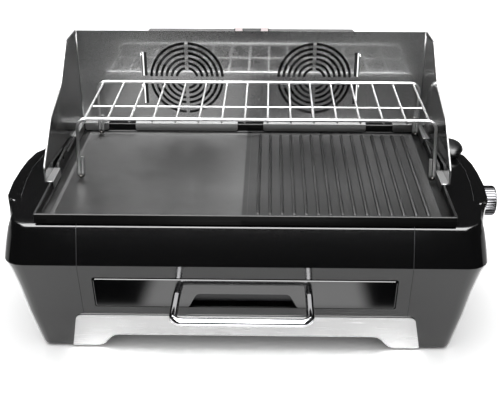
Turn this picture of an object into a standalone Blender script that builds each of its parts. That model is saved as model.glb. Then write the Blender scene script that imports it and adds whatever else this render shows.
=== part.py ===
"""Smokeless indoor grill: a cast griddle over an electric element, a lift-off steel windshield with
two fan grilles, a wire warming rack and a drip drawer, in metres, +Z up, front towards -Y."""
import math

import bmesh
import bpy
from mathutils import Matrix, Vector

# Clearances shared by all pieces
SEAT_GAP = 0.0003
RUN_GAP = 0.001
CUT_OVERRUN = 0.004

# Housing: Y is measured back from the front edge of the griddle, Z up from the table
RIM_TOP = 0.200
RIM_LIFT = 0.0153
DECK_TOP = RIM_TOP - RIM_LIFT
UPPER_RISE = 0.0467
CREASE_TOP = DECK_TOP - UPPER_RISE
BODY_BOTTOM = 0.0032
BOTTOM_HALF_WIDTH = 0.2655
CREASE_HALF_WIDTH = 0.3004
DECK_HALF_WIDTH = 0.2905
BOTTOM_FRONT = 0.0085
CREASE_FRONT = -0.017
DECK_FRONT = 0.0015
BOTTOM_REAR = 0.345
CREASE_REAR = 0.364
DECK_REAR = 0.357
BOTTOM_CORNER = 0.010
CREASE_CORNER = 0.028
HOUSING_WALL = 0.003
SEAM_HALF = 0.2056
FRONT_PANEL_DEPTH = 0.030
DECK_OPENING_HALF = 0.246
DECK_OPENING_FRONT = 0.009
DECK_OPENING_REAR = 0.291
DECK_OPENING_CORNER = 0.006
EAR_FRONT = 0.029
EAR_LENGTH = 0.221
EAR_REACH = 0.0235
EAR_RECESS = 0.0065
ARCH_TOP = 0.0232
ARCH_HALF_TOP = 0.165
ARCH_HALF_BOTTOM = 0.194
ARCH_MARGIN = 0.0015

# Trim plate on the lower front
TRIM_SHARE = 0.409
TRIM_TOP = BODY_BOTTOM + (CREASE_TOP - BODY_BOTTOM) * TRIM_SHARE
TRIM_THICKNESS = 0.0012
TRIM_HALF_TOP = 0.2155
TRIM_HALF_BOTTOM = 0.2265
TRIM_CORNER = 0.009

# Base pan and feet
BASE_BOTTOM = 0.0265
BASE_THICKNESS = 0.0025
PEDESTAL_RADIUS = 0.0085
FOOT_RADIUS = 0.0095
FOOT_X = 0.243
FOOT_FRONT = 0.0235
FOOT_REAR = 0.326
FOOT_EDGE = 0.0012
BASE_SCREW_X = 0.170
BASE_SCREW_FRONT = 0.060
BASE_SCREW_REAR = 0.280

# Griddle
PLATE_HALF_WIDTH = 0.2562
PLATE_DEPTH = 0.300
PLATE_CORNER = 0.0015
RIM_THICKNESS = 0.003
RIM_HEIGHT = 0.0127
PLATE_SEAT = 0.005
GUTTER_DEPTH = 0.0122
GUTTER_WIDTH = 0.0127
RIDGE_DEPTH = 0.0092
RIDGE_WIDTH = 0.0035
FLOOR_DEPTH = 0.0105
PLATE_UNDERSIDE = 0.018
SKIRT_CLEARANCE = 0.0015
RIB_COUNT = 15
RIB_PITCH = 0.015
RIB_FIRST = 0.0155
RIB_WIDTH = 0.0052
RIB_HEIGHT = 0.0035
RIB_END_GAP = 0.002
LUG_FRONT = 0.137
LUG_LENGTH = 0.048
LUG_RISE = 0.007
LUG_THICKNESS = 0.0032
LUG_CORNER = 0.005
LUG_HOLE_RADIUS = 0.0035
DRAIN_RADIUS = 0.004
SPOUT_RADIUS = 0.0058
SPOUT_LENGTH = 0.034

# Windshield, folded from one steel sheet
SHEET = 0.001
WALL_FRONT = 0.305
WALL_HALF_WIDTH = 0.2535
WALL_HEIGHT = 0.1408
WING_FRONT = 0.090
WING_SPLAY = 0.0075
HEM_WIDTH = 0.004
HEM_THICKNESS = 0.0024
WING_TOP_END = 0.252
WING_WAIST_Y = 0.205
WING_WAIST_HEIGHT = 0.0925
WING_SHOULDER_Y = 0.141
WING_SHOULDER_HEIGHT = 0.0685
WING_NOSE_HEIGHT = 0.020
WING_RADIUS = 0.012
WING_WAIST_RADIUS = 0.042
HOOK_DEPTH = 0.0098
HOOK_GAP = 0.0012
HOOK_CORNER = 0.003
TAB_FRONT_LENGTH = 0.042
TAB_REAR_START = 0.244
LIP_INNER = 0.0195
LIP_OUTER = 0.1735
LIP_SIDE = 0.214
GRILLE_X = 0.094
GRILLE_HEIGHT = 0.0695
GRILLE_FIRST_RADIUS = 0.0153
GRILLE_PITCH = 0.0075
GRILLE_RINGS = 6
GRILLE_SLOT = 0.0039
GRILLE_BRIDGE = 0.005
LATCH_X = 0.1555
LATCH_SLOT = 0.0062
LATCH_REACH = 0.0085
LATCH_UPPER = 0.073
LATCH_UPPER_HEIGHT = 0.036
LATCH_LOWER = 0.030
LATCH_LOWER_HEIGHT = 0.032

# Warming rack
RACK_CENTRE_X = 0.0115
RACK_HEIGHT = 0.071
RACK_FRONT = 0.134
RACK_REAR = 0.283
RACK_FRONT_FOOT = 0.1245
RACK_REAR_FOOT = 0.280
RACK_SPREAD = 0.0022
RACK_HALF_WIDTH = 0.2345
RACK_BAR_RADIUS = 0.00225
RACK_WIRE_RADIUS = 0.0015
RACK_WELD = 0.0007
RACK_WIRES = 16
RACK_WIRE_PITCH = 0.0302
RACK_MID_BAR = 0.060
RACK_BEND = 0.012
RACK_HAIRPIN = 0.0053
RACK_HAIRPIN_HEIGHT = 0.027
RACK_FOOT_GAP = 0.0008

# Heating element and its reflector
REFLECTOR_HALF_WIDTH = 0.236
REFLECTOR_FRONT = 0.018
REFLECTOR_REAR = 0.270
REFLECTOR_CORNER = 0.012
REFLECTOR_DROP = 0.003
REFLECTOR_HEIGHT = 0.033
REFLECTOR_WALL = 0.0008
ELEMENT_RADIUS = 0.0033
ELEMENT_DROP = 0.0065
ELEMENT_FRONT = 0.052
ELEMENT_PITCH = 0.060
ELEMENT_TURNS = 4
ELEMENT_LEFT = 0.195
ELEMENT_RIGHT = 0.190
ELEMENT_TERMINAL = 0.246
BRACKET_X = 0.115
BRACKET_THICKNESS = 0.0015
BRACKET_END_GAP = 0.012

# Drawer
DRAWER_HALF_WIDTH = 0.1895
DRAWER_BOTTOM = 0.0722
DRAWER_TOP = 0.1198
DRAWER_CORNER = 0.003
DRAWER_GAP = 0.0016
DRAWER_PROUD = 0.0012
DRAWER_EDGE = 0.0008
DRAWER_BACK = 0.006
NOTCH_HALF_BOTTOM = 0.0725
NOTCH_HALF_FOOT = 0.068
NOTCH_HALF_TOP = 0.0575
NOTCH_HEIGHT = 0.0225
NOTCH_CORNER = 0.0075
HANDLE_RADIUS = 0.005
HANDLE_X = -0.0025
HANDLE_HALF_WIDTH = 0.0825
HANDLE_REACH = 0.0685
HANDLE_HEIGHT = 0.0927
HANDLE_BEND = 0.012
TRAY_HALF_WIDTH = 0.1815
TRAY_REAR = 0.302
TRAY_HEIGHT = 0.036
TRAY_WALL = 0.001
TRAY_CORNER = 0.008
RUNNER_THICKNESS = 0.0012
RUNNER_FLANGE = 0.011
RUNNER_HEIGHT = 0.022
RUNNER_FRONT = 0.012
RUNNER_REAR = 0.310
CHASSIS_THICKNESS = 0.0012

# Control knob, thermostat and cord inlet on the right end cap
KNOB_Y = 0.138
KNOB_DROP = 0.0455
KNOB_HEIGHT = RIM_TOP - KNOB_DROP
KNOB_RADIUS = 0.0203
KNOB_END = 0.3352
KNOB_LENGTH = 0.026
KNOB_RIBS = 36
KNOB_RIB_DEPTH = 0.0007
KNOB_EDGE = 0.003
KNOB_BORE_DEPTH = 0.014
BEZEL_RADIUS = 0.0165
BEZEL_START = 0.2865
SHAFT_RADIUS = 0.003
SHAFT_CLEARANCE = 0.0005
THERMOSTAT_WIDTH = 0.026
THERMOSTAT_DEPTH = 0.022
THERMOSTAT_FACE = 0.286
HOOD_X = 0.288
HOOD_Y = 0.231
HOOD_HALF_WIDTH = 0.0185
HOOD_HALF_LENGTH = 0.027
HOOD_HEIGHT = 0.0158
GLAND_RADIUS = 0.0042
GLAND_BORE = 0.0026
GLAND_DEPTH = 0.012
GLAND_TAIL = 0.009

# Fan box behind the windshield
BOX_HALF_WIDTH = 0.157
BOX_TOP_HALF_WIDTH = 0.152
BOX_FRONT_GAP = 0.001
BOX_DEPTH = 0.042
BOX_TOP = 0.3315
BOX_SHOULDER_DROP = 0.007
BOX_WALL = 0.002
BOX_PORT_RADIUS = 0.0545
COVER_THICKNESS = 0.002
VENT_COUNT = 8
VENT_PITCH = 0.011
VENT_HEIGHT = 0.004
VENT_LENGTH = 0.092
COVER_SCREW_RADIUS = 0.003
COVER_SCREW_HEIGHT = 0.0018
COVER_SCREW_INSET = 0.007
FAN_FRAME_HALF = 0.0575
FAN_FRAME_DEPTH = 0.025
FAN_DUCT_RADIUS = 0.0545
FAN_STRUT_WIDTH = 0.004
FAN_STRUT_DEPTH = 0.003
FAN_BASE_RADIUS = 0.018
FAN_TIP_RADIUS = 0.0525
FAN_HUB_RADIUS = 0.0195
FAN_HUB_DEPTH = 0.016
FAN_HUB_WALL = 0.0015
FAN_BLADES = 7
FAN_BLADE_THICKNESS = 0.0016
FAN_BLADE_SPAN = 0.028
FAN_BLADE_PITCH = math.radians(38)
MOTOR_RADIUS = 0.0165
MOTOR_LENGTH = 0.010
SWITCH_STRIP_HALF = 0.0268
SWITCH_STRIP_FRONT = 0.3265
SWITCH_STRIP_DEPTH = 0.021
SWITCH_STRIP_THICKNESS = 0.0017
SWITCH_CENTRE_X = 0.0012
SWITCH_OFFSET_X = 0.019
ROCKER_WIDTH = 0.0105
ROCKER_LENGTH = 0.015
ROCKER_RISE = 0.0016
ROCKER_DROP = 0.003
ROCKER_TILT = math.radians(7)
SWITCH_BODY_HEIGHT = 0.0075

# Shares of the sizes above, chosen by hand
LOWER_SHARES = (
    # height, way out at the sides and rear, way out at the front
    (0.0, 0.0, 0.0),
    (0.026, 0.07, 0.055),
    (TRIM_SHARE, 0.387, 0.49),
    (0.704, 0.593, 0.747),
    (0.926, 0.831, 0.941),
    (1.0, 1.0, 1.0),
)
UPPER_SHARES = (
    # height, way in at the sides and rear, way in at the front, reach of the ear
    (0.257, 0.12, 0.257, -0.6),
    (0.470, 0.26, 0.470, -1.0),
    (0.700, 0.45, 0.700, -1.0),
    (0.800, 0.56, 0.800, -0.5),
    (0.835, 0.62, 0.835, 0.62),
    (0.880, 0.69, 0.880, 0.97),
    (0.946, 0.80, 0.946, 1.0),
    (0.9635, 0.85, 0.970, 0.83),
    (0.978, 0.89, 1.002, 0.70),
    (0.9893, 0.935, 1.042, 0.60),
    (0.9967, 0.968, 1.0875, 0.52),
    (1.0, 1.0, 1.147, 0.45),
)
EAR_PLAN_SHARES = ((0.0, 0.0), (0.12, 0.38), (0.26, 0.84), (0.44, 1.0), (0.62, 1.0),
              (0.76, 0.93), (0.89, 0.70), (0.95, 0.34), (1.0, 0.0))
HOOD_SHARES = ((0.78, 0.0), (0.90, 0.22), (1.0, 0.46), (0.97, 0.62), (0.86, 0.80), (0.62, 0.94), (0.30, 1.0))
ARCH_S_SHARES = ((0.0, 0.0), (0.22, 0.08), (0.40, 0.30), (0.62, 0.72), (0.80, 0.93), (1.0, 1.0))


def material(name, colour, roughness, metallic):
    """Principled material of one finish."""
    result = bpy.data.materials.new(name)
    result.use_nodes = True
    shader = result.node_tree.nodes["Principled BSDF"]
    shader.inputs["Base Color"].default_value = (*colour, 1)
    shader.inputs["Roughness"].default_value = roughness
    shader.inputs["Metallic"].default_value = metallic
    result.diffuse_color = (*colour, 1)
    return result


def solid(name, bm, finish, sharp_angle=None):
    """One closed body as an object, with its faces turned outward."""
    bmesh.ops.remove_doubles(bm, verts=bm.verts, dist=1e-6)
    bmesh.ops.recalc_face_normals(bm, faces=bm.faces)
    mesh = bpy.data.meshes.new(name)
    bm.to_mesh(mesh)
    bm.free()
    piece = bpy.data.objects.new(name, mesh)
    bpy.context.scene.collection.objects.link(piece)
    if finish:
        mesh.materials.append(finish)
    if sharp_angle:
        mesh.shade_smooth()
        mesh.set_sharp_from_angle(angle=sharp_angle)
    return piece


def combine(piece, tool, operation):
    """Applies one exact Boolean of two solids and drops the tool."""
    step = piece.modifiers.new(operation, "BOOLEAN")
    step.operation = operation
    step.solver = "EXACT"
    step.object = tool
    depsgraph = bpy.context.evaluated_depsgraph_get()
    joined = bpy.data.meshes.new_from_object(piece.evaluated_get(depsgraph))
    piece.modifiers.clear()
    piece.data = joined
    bpy.data.objects.remove(tool)
    return piece


def cut(piece, tool):
    return combine(piece, tool, "DIFFERENCE")


def join(piece, tool):
    return combine(piece, tool, "UNION")


def set_origin(piece, point):
    """Moves a piece's origin to a point without moving the piece."""
    piece.data.transform(Matrix.Translation(-Vector(point)))
    piece.location = Vector(point)
    return piece


def loft(rings, closed=False, bm=None):
    """Skins rings of equally many points; the ends are capped, or joined to each other."""
    bm = bm or bmesh.new()
    loops = [[bm.verts.new(point) for point in ring] for ring in rings]
    count = len(rings[0])
    pairs = list(zip(loops, loops[1:]))
    if closed:
        pairs.append((loops[-1], loops[0]))
    for below, above in pairs:
        for i in range(count):
            j = (i + 1) % count
            bm.faces.new((below[i], below[j], above[j], above[i]))
    if not closed:
        bm.faces.new(loops[0])
        bm.faces.new(loops[-1])
    return bm


def prism(outline, axis, low, high, bm=None):
    """Extrudes a flat outline along X, Y or Z from low to high."""
    place = {
        "X": lambda p, d: (d, p[0], p[1]),
        "Y": lambda p, d: (p[0], d, p[1]),
        "Z": lambda p, d: (p[0], p[1], d),
    }[axis]
    return loft([[place(p, d) for p in outline] for d in (low, high)], bm=bm)


def box(low, high, bm=None):
    """Block between two corners."""
    outline = ((low[0], low[1]), (high[0], low[1]), (high[0], high[1]), (low[0], high[1]))
    return prism(outline, "Z", low[2], high[2], bm)


def arc(centre, radius, start, end, steps):
    """Points of an arc, ends included, angles in radians."""
    angles = [start + (end - start) * i / steps for i in range(steps + 1)]
    return [(centre[0] + radius * math.cos(a), centre[1] + radius * math.sin(a)) for a in angles]


def fillet(corners, steps=4):
    """Rounds a closed outline; each corner is (x, y, radius)."""
    outline = []
    for i, (x, y, radius) in enumerate(corners):
        here = Vector((x, y))
        if radius <= 0:
            outline.append(tuple(here))
            continue
        back = (Vector(corners[i - 1][:2]) - here).normalized()
        ahead = (Vector(corners[(i + 1) % len(corners)][:2]) - here).normalized()
        half = back.angle(ahead) / 2
        centre = here + (back + ahead).normalized() * radius / math.sin(half)
        first = here + back * radius / math.tan(half) - centre
        last = here + ahead * radius / math.tan(half) - centre
        turn = first.angle_signed(last)
        for k in range(steps + 1):
            spoke = Matrix.Rotation(-turn * k / steps, 2) @ first
            outline.append(tuple(centre + spoke))
    return outline


def round_box_outline(half_width, front, rear, radius, steps=4):
    """Rounded rectangle centred on X = 0, counter-clockwise from the front right corner."""
    return fillet([(half_width, front, radius), (half_width, rear, radius),
                   (-half_width, rear, radius), (-half_width, front, radius)], steps)


def at_height(outline, height):
    return [(x, y, height) for x, y in outline]


def disc(radius, steps):
    return arc((0, 0), radius, 0, math.tau * (steps - 1) / steps, steps - 1)


def rod_between(start, end, radius, steps=24):
    """Round bar from one point to another."""
    start, end = Vector(start), Vector(end)
    turn = (end - start).to_track_quat("Z", "Y")
    rings = [[point + turn @ Vector((x, y, 0)) for x, y in disc(radius, steps)] for point in (start, end)]
    return loft(rings)


def bend(corners, steps=5):
    """Rounds the corners of an open path; each corner is (point, radius)."""
    path = []
    for i, (point, radius) in enumerate(corners):
        here = Vector(point)
        if radius <= 0:
            path.append(here)
            continue
        back = (Vector(corners[i - 1][0]) - here).normalized()
        ahead = (Vector(corners[i + 1][0]) - here).normalized()
        half = back.angle(ahead) / 2
        centre = here + (back + ahead).normalized() * radius / math.sin(half)
        first = here + back * radius / math.tan(half) - centre
        last = here + ahead * radius / math.tan(half) - centre
        axis = first.cross(last).normalized()
        turn = first.angle(last)
        for k in range(steps + 1):
            path.append(centre + Matrix.Rotation(turn * k / steps, 3, axis) @ first)
    return path


def wire(path, radius, sides=8):
    """Round wire along a path, its section carried along without twist."""
    tangents = []
    for i in range(len(path)):
        ahead = path[min(i + 1, len(path) - 1)]
        behind = path[max(i - 1, 0)]
        tangents.append((Vector(ahead) - Vector(behind)).normalized())
    side = tangents[0].orthogonal().normalized()
    rings = []
    for point, tangent in zip(path, tangents):
        side = (side - tangent * side.dot(tangent)).normalized()
        other = tangent.cross(side)
        rings.append([Vector(point) + side * x + other * y for x, y in disc(radius, sides)])
    return loft(rings)


def turned(profile, centre, axis, steps=24):
    """Turns a closed profile of (radius, distance along the axis) about X, Y or Z."""
    frame = {
        "X": lambda r, d, a: (d, r * math.cos(a), r * math.sin(a)),
        "Y": lambda r, d, a: (r * math.sin(a), d, r * math.cos(a)),
        "Z": lambda r, d, a: (r * math.cos(a), r * math.sin(a), d),
    }[axis]
    rings = []
    for k in range(steps):
        angle = math.tau * k / steps
        rings.append([Vector(centre) + Vector(frame(r, d, angle)) for r, d in profile])
    if all(r > 0 for r, _ in profile):
        return loft(rings, closed=True)
    bm = bmesh.new()
    columns = [[bm.verts.new(p) for p in ring] for ring in rings]
    for k in range(steps):
        here, there = columns[k], columns[(k + 1) % steps]
        for i in range(len(profile) - 1):
            quad = (here[i], here[i + 1], there[i + 1], there[i])
            if profile[i][0] == 0:
                quad = (here[i], here[i + 1], there[i + 1])
            elif profile[i + 1][0] == 0:
                quad = (here[i], here[i + 1], there[i])
            bm.faces.new(quad)
    return bm


def drum(radius, low, high, centre, axis, edge=0.0, steps=24):
    """Solid round piece with an optional bevel on both rims."""
    if edge:
        profile = [(0, low), (radius - edge, low), (radius, low + edge), (radius, high - edge)]
        profile += [(radius - edge, high), (0, high)]
    else:
        profile = [(0, low), (radius, low), (radius, high), (0, high)]
    return turned(profile, centre, axis, steps)


def between(start, end, share):
    return start + (end - start) * share


def front_plane(height):
    """Y of the housing's front at a height: one flat behind the trim, one around the drawer."""
    rise = (height - BODY_BOTTOM) / (CREASE_TOP - BODY_BOTTOM)
    flat = 1 if rise < LOWER_SHARES[2][0] else 2
    (low_rise, _, low_spread), (high_rise, _, high_spread) = LOWER_SHARES[flat:flat + 2]
    spread = between(low_spread, high_spread, (rise - low_rise) / (high_rise - low_rise))
    return between(BOTTOM_FRONT, CREASE_FRONT, spread)


def housing_levels():
    """(height, half width, front, rear, corner, ear reach) of the housing from bottom to deck."""
    levels = []
    for height, side, front in LOWER_SHARES:
        levels.append((
            between(BODY_BOTTOM, CREASE_TOP, height),
            between(BOTTOM_HALF_WIDTH, CREASE_HALF_WIDTH, side),
            between(BOTTOM_FRONT, CREASE_FRONT, front),
            between(BOTTOM_REAR, CREASE_REAR, side),
            between(BOTTOM_CORNER, CREASE_CORNER, side),
            0.0,
        ))
    for height, side, front, ear in UPPER_SHARES:
        levels.append((
            between(CREASE_TOP, DECK_TOP, height),
            between(CREASE_HALF_WIDTH, DECK_HALF_WIDTH, side),
            between(CREASE_FRONT, DECK_FRONT, front),
            between(CREASE_REAR, DECK_REAR, side),
            CREASE_CORNER,
            ear * (EAR_REACH if ear > 0 else EAR_RECESS),
        ))
    return levels


def housing_ring(half_width, front, rear, corner, ear, height, inset=0.0):
    """One level of the housing: a rounded rectangle whose sides swell into the ears."""
    half_width -= inset
    front += inset
    rear -= inset
    corner = max(corner - inset, inset)
    quarter = math.pi / 2
    right = arc((half_width - corner, front + corner), corner, -quarter, 0, 5)
    right += [(half_width + ear * swell, EAR_FRONT + EAR_LENGTH * run) for run, swell in EAR_PLAN_SHARES[1:-1]]
    right += arc((half_width - corner, rear - corner), corner, 0, quarter, 5)
    left = [(-x, y) for x, y in reversed(right)]
    return at_height(right + left, height)


def housing_shell():
    """The whole housing wall with its deck opening, before it is parted into panels."""
    levels = housing_levels()
    outer = [housing_ring(w, f, r, c, ear, z) for z, w, f, r, c, ear in levels]
    inner_deck = DECK_TOP - HOUSING_WALL

    def opening(height):
        """Deck opening with as many points as a level of the housing."""
        corner = DECK_OPENING_CORNER
        quarter = math.pi / 2
        x, front, rear = DECK_OPENING_HALF - corner, DECK_OPENING_FRONT + corner, DECK_OPENING_REAR - corner
        right = arc((x, front), corner, -quarter, 0, 5)
        right += [(DECK_OPENING_HALF, between(front, rear, run)) for run, _ in EAR_PLAN_SHARES[1:-1]]
        right += arc((x, rear), corner, 0, quarter, 5)
        return at_height(right + [(-a, b) for a, b in reversed(right)], height)

    inner = []
    for z, w, f, r, c, ear in reversed(levels):
        if z > inner_deck - HOUSING_WALL:
            continue
        if CREASE_TOP < z and ear > 0:
            continue
        top_ear = -EAR_RECESS if z > CREASE_TOP else 0.0
        inner.append(housing_ring(w, f, r, c, top_ear, z, HOUSING_WALL))
    z, w, f, r, c, _ = levels[-1]
    ceiling = housing_ring(w, f, r, c, -EAR_RECESS, inner_deck, HOUSING_WALL)
    rings = outer + [opening(DECK_TOP), opening(inner_deck), ceiling] + inner
    return loft(rings, closed=True)


def arch_outline(margin):
    """Cut-out along the lower edge of the front: flat in the middle, an S curve at each end."""
    right = []
    for run, rise in ARCH_S_SHARES:
        x = between(ARCH_HALF_BOTTOM, ARCH_HALF_TOP, run) + margin
        z = between(BODY_BOTTOM, ARCH_TOP, rise) + margin
        right.append((x, z))
    return right + [(-x, z) for x, z in reversed(right)]


def arch_cutter():
    right_end = ARCH_HALF_BOTTOM + ARCH_MARGIN
    floor_drop = BODY_BOTTOM - CUT_OVERRUN
    outline = [(right_end, floor_drop)] + arch_outline(ARCH_MARGIN) + [(-right_end, floor_drop)]
    return solid("arch_cutter", prism(outline, "Y", CREASE_FRONT - CUT_OVERRUN, FRONT_PANEL_DEPTH), None)


def housing_panels(plastic):
    """Front panel, rear panel and two end caps, parted at the seams."""
    reach = CREASE_HALF_WIDTH + EAR_REACH + CUT_OVERRUN
    front_end = CREASE_FRONT - CUT_OVERRUN
    rear_end = CREASE_REAR + CUT_OVERRUN
    top = DECK_TOP + CUT_OVERRUN
    seam = SEAT_GAP / 2
    regions = {
        "front_panel": ((-SEAM_HALF + seam, front_end, 0), (SEAM_HALF - seam, FRONT_PANEL_DEPTH, top)),
        "rear_panel": ((-SEAM_HALF + seam, FRONT_PANEL_DEPTH + SEAT_GAP, 0), (SEAM_HALF - seam, rear_end, top)),
        "left_end_cap": ((-reach, front_end, 0), (-SEAM_HALF - seam, rear_end, top)),
        "right_end_cap": ((SEAM_HALF + seam, front_end, 0), (reach, rear_end, top)),
    }
    panels = {}
    for name, (low, high) in regions.items():
        panel = solid(name, housing_shell(), plastic)
        combine(panel, solid("region", box(low, high), None), "INTERSECT")
        if name != "rear_panel":
            cut(panel, arch_cutter())
        panels[name] = panel
    return panels


def drawer_opening():
    outline = [(x, z) for x, z in fillet([
        (DRAWER_HALF_WIDTH, DRAWER_BOTTOM, DRAWER_CORNER),
        (DRAWER_HALF_WIDTH, DRAWER_TOP, DRAWER_CORNER),
        (-DRAWER_HALF_WIDTH, DRAWER_TOP, DRAWER_CORNER),
        (-DRAWER_HALF_WIDTH, DRAWER_BOTTOM, DRAWER_CORNER)])]
    return solid("drawer_cutter", prism(outline, "Y", CREASE_FRONT - CUT_OVERRUN, FRONT_PANEL_DEPTH), None)


def smooth_panel(piece, angle=math.radians(24)):
    piece.data.shade_smooth()
    piece.data.set_sharp_from_angle(angle=angle)


def make_housing(plastic):
    panels = housing_panels(plastic)
    cut(panels["front_panel"], drawer_opening())
    spout_room = SPOUT_RADIUS + RUN_GAP
    spout_y = drain_place()
    cut(panels["rear_panel"], solid("spout_notch", box(
        (-spout_room, DECK_OPENING_REAR - CUT_OVERRUN, DECK_TOP - HOUSING_WALL - CUT_OVERRUN),
        (spout_room, spout_y + spout_room, DECK_TOP + CUT_OVERRUN)), None))
    right = panels["right_end_cap"]
    cut(right, solid("bezel_hole", drum(BEZEL_RADIUS + SEAT_GAP, THERMOSTAT_FACE - CUT_OVERRUN,
                                        CREASE_HALF_WIDTH + CUT_OVERRUN, (0, KNOB_Y, KNOB_HEIGHT), "X"), None))
    for panel in panels.values():
        smooth_panel(panel)


def make_trim(steel):
    """Brushed plate that follows the lean of the lower front."""
    corners = [(TRIM_HALF_TOP, TRIM_TOP, TRIM_CORNER), (-TRIM_HALF_TOP, TRIM_TOP, TRIM_CORNER),
               (-TRIM_HALF_BOTTOM, BODY_BOTTOM, 0)]
    outline = fillet(corners + [(TRIM_HALF_BOTTOM, BODY_BOTTOM, 0)])
    outline = outline[:-1] + [(-x, z) for x, z in arch_outline(0.0)] + outline[-1:]
    rings = []
    for lift in (SEAT_GAP, SEAT_GAP + TRIM_THICKNESS):
        rings.append([(x, front_plane(z) - lift, z) for x, z in outline])
    solid("steel_trim", loft(rings), steel)


def make_base(plastic, rubber, screw_steel):
    """Base pan inside the walls, on four pedestals with rubber feet."""
    below, above = housing_levels()[1:3]
    share = (BASE_BOTTOM - below[0]) / (above[0] - below[0])
    half_width, front, rear, corner = (between(a, b, share) for a, b in zip(below[1:5], above[1:5]))
    ring = housing_ring(half_width, front, rear, corner, 0.0, BASE_BOTTOM, HOUSING_WALL + SEAT_GAP)
    base = solid("base_pan", prism([(x, y) for x, y, _ in ring], "Z", BASE_BOTTOM, BASE_BOTTOM + BASE_THICKNESS),
                 plastic)
    base_top = BASE_BOTTOM + BASE_THICKNESS
    places = {"front_left": (-FOOT_X, FOOT_FRONT), "front_right": (FOOT_X, FOOT_FRONT),
              "rear_left": (-FOOT_X, FOOT_REAR), "rear_right": (FOOT_X, FOOT_REAR)}
    for name, (x, y) in places.items():
        join(base, solid("pedestal", drum(PEDESTAL_RADIUS, BODY_BOTTOM + SEAT_GAP, base_top - BASE_THICKNESS / 2,
                                          (x, y, 0), "Z", steps=16), None))
        foot = drum(FOOT_RADIUS, 0, BODY_BOTTOM, (x, y, 0), "Z", FOOT_EDGE, steps=20)
        solid(f"foot_{name}", foot, rubber, math.radians(50))
    for k, (x, y) in enumerate(((-BASE_SCREW_X, BASE_SCREW_FRONT), (BASE_SCREW_X, BASE_SCREW_FRONT),
                                (-BASE_SCREW_X, BASE_SCREW_REAR), (BASE_SCREW_X, BASE_SCREW_REAR)), 1):
        head_bottom = BASE_BOTTOM - SEAT_GAP - COVER_SCREW_HEIGHT
        solid(f"base_screw_{k}", drum(COVER_SCREW_RADIUS, head_bottom, BASE_BOTTOM - SEAT_GAP, (x, y, 0), "Z",
                                      COVER_SCREW_HEIGHT / 3, steps=12), screw_steel, math.radians(50))


def plate_ring(margin, height, corner):
    """Outline of the griddle drawn in by a margin."""
    outline = round_box_outline(PLATE_HALF_WIDTH - margin, margin, PLATE_DEPTH - margin, corner, 3)
    return at_height(outline, height)


def drain_place():
    return PLATE_DEPTH - RIM_THICKNESS - GUTTER_WIDTH / 2


def rib_bar(x, low_y, high_y, base_height, top_height):
    """One raised rib with a rounded top and rounded-off ends."""
    section = arc((0, 0), 1, 0, math.pi, 4)
    rings = []
    run_out = top_height - base_height
    for y, rise in ((low_y, 0.35), (low_y + run_out, 1.0), (high_y - run_out, 1.0), (high_y, 0.35)):
        ring = [(x + RIB_WIDTH / 2 * c, y, between(base_height, top_height, s * rise)) for c, s in section]
        ring[0] = (x + RIB_WIDTH / 2, y, base_height - RIB_HEIGHT / 2)
        ring[-1] = (x - RIB_WIDTH / 2, y, base_height - RIB_HEIGHT / 2)
        rings.append(ring)
    return rings


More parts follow.
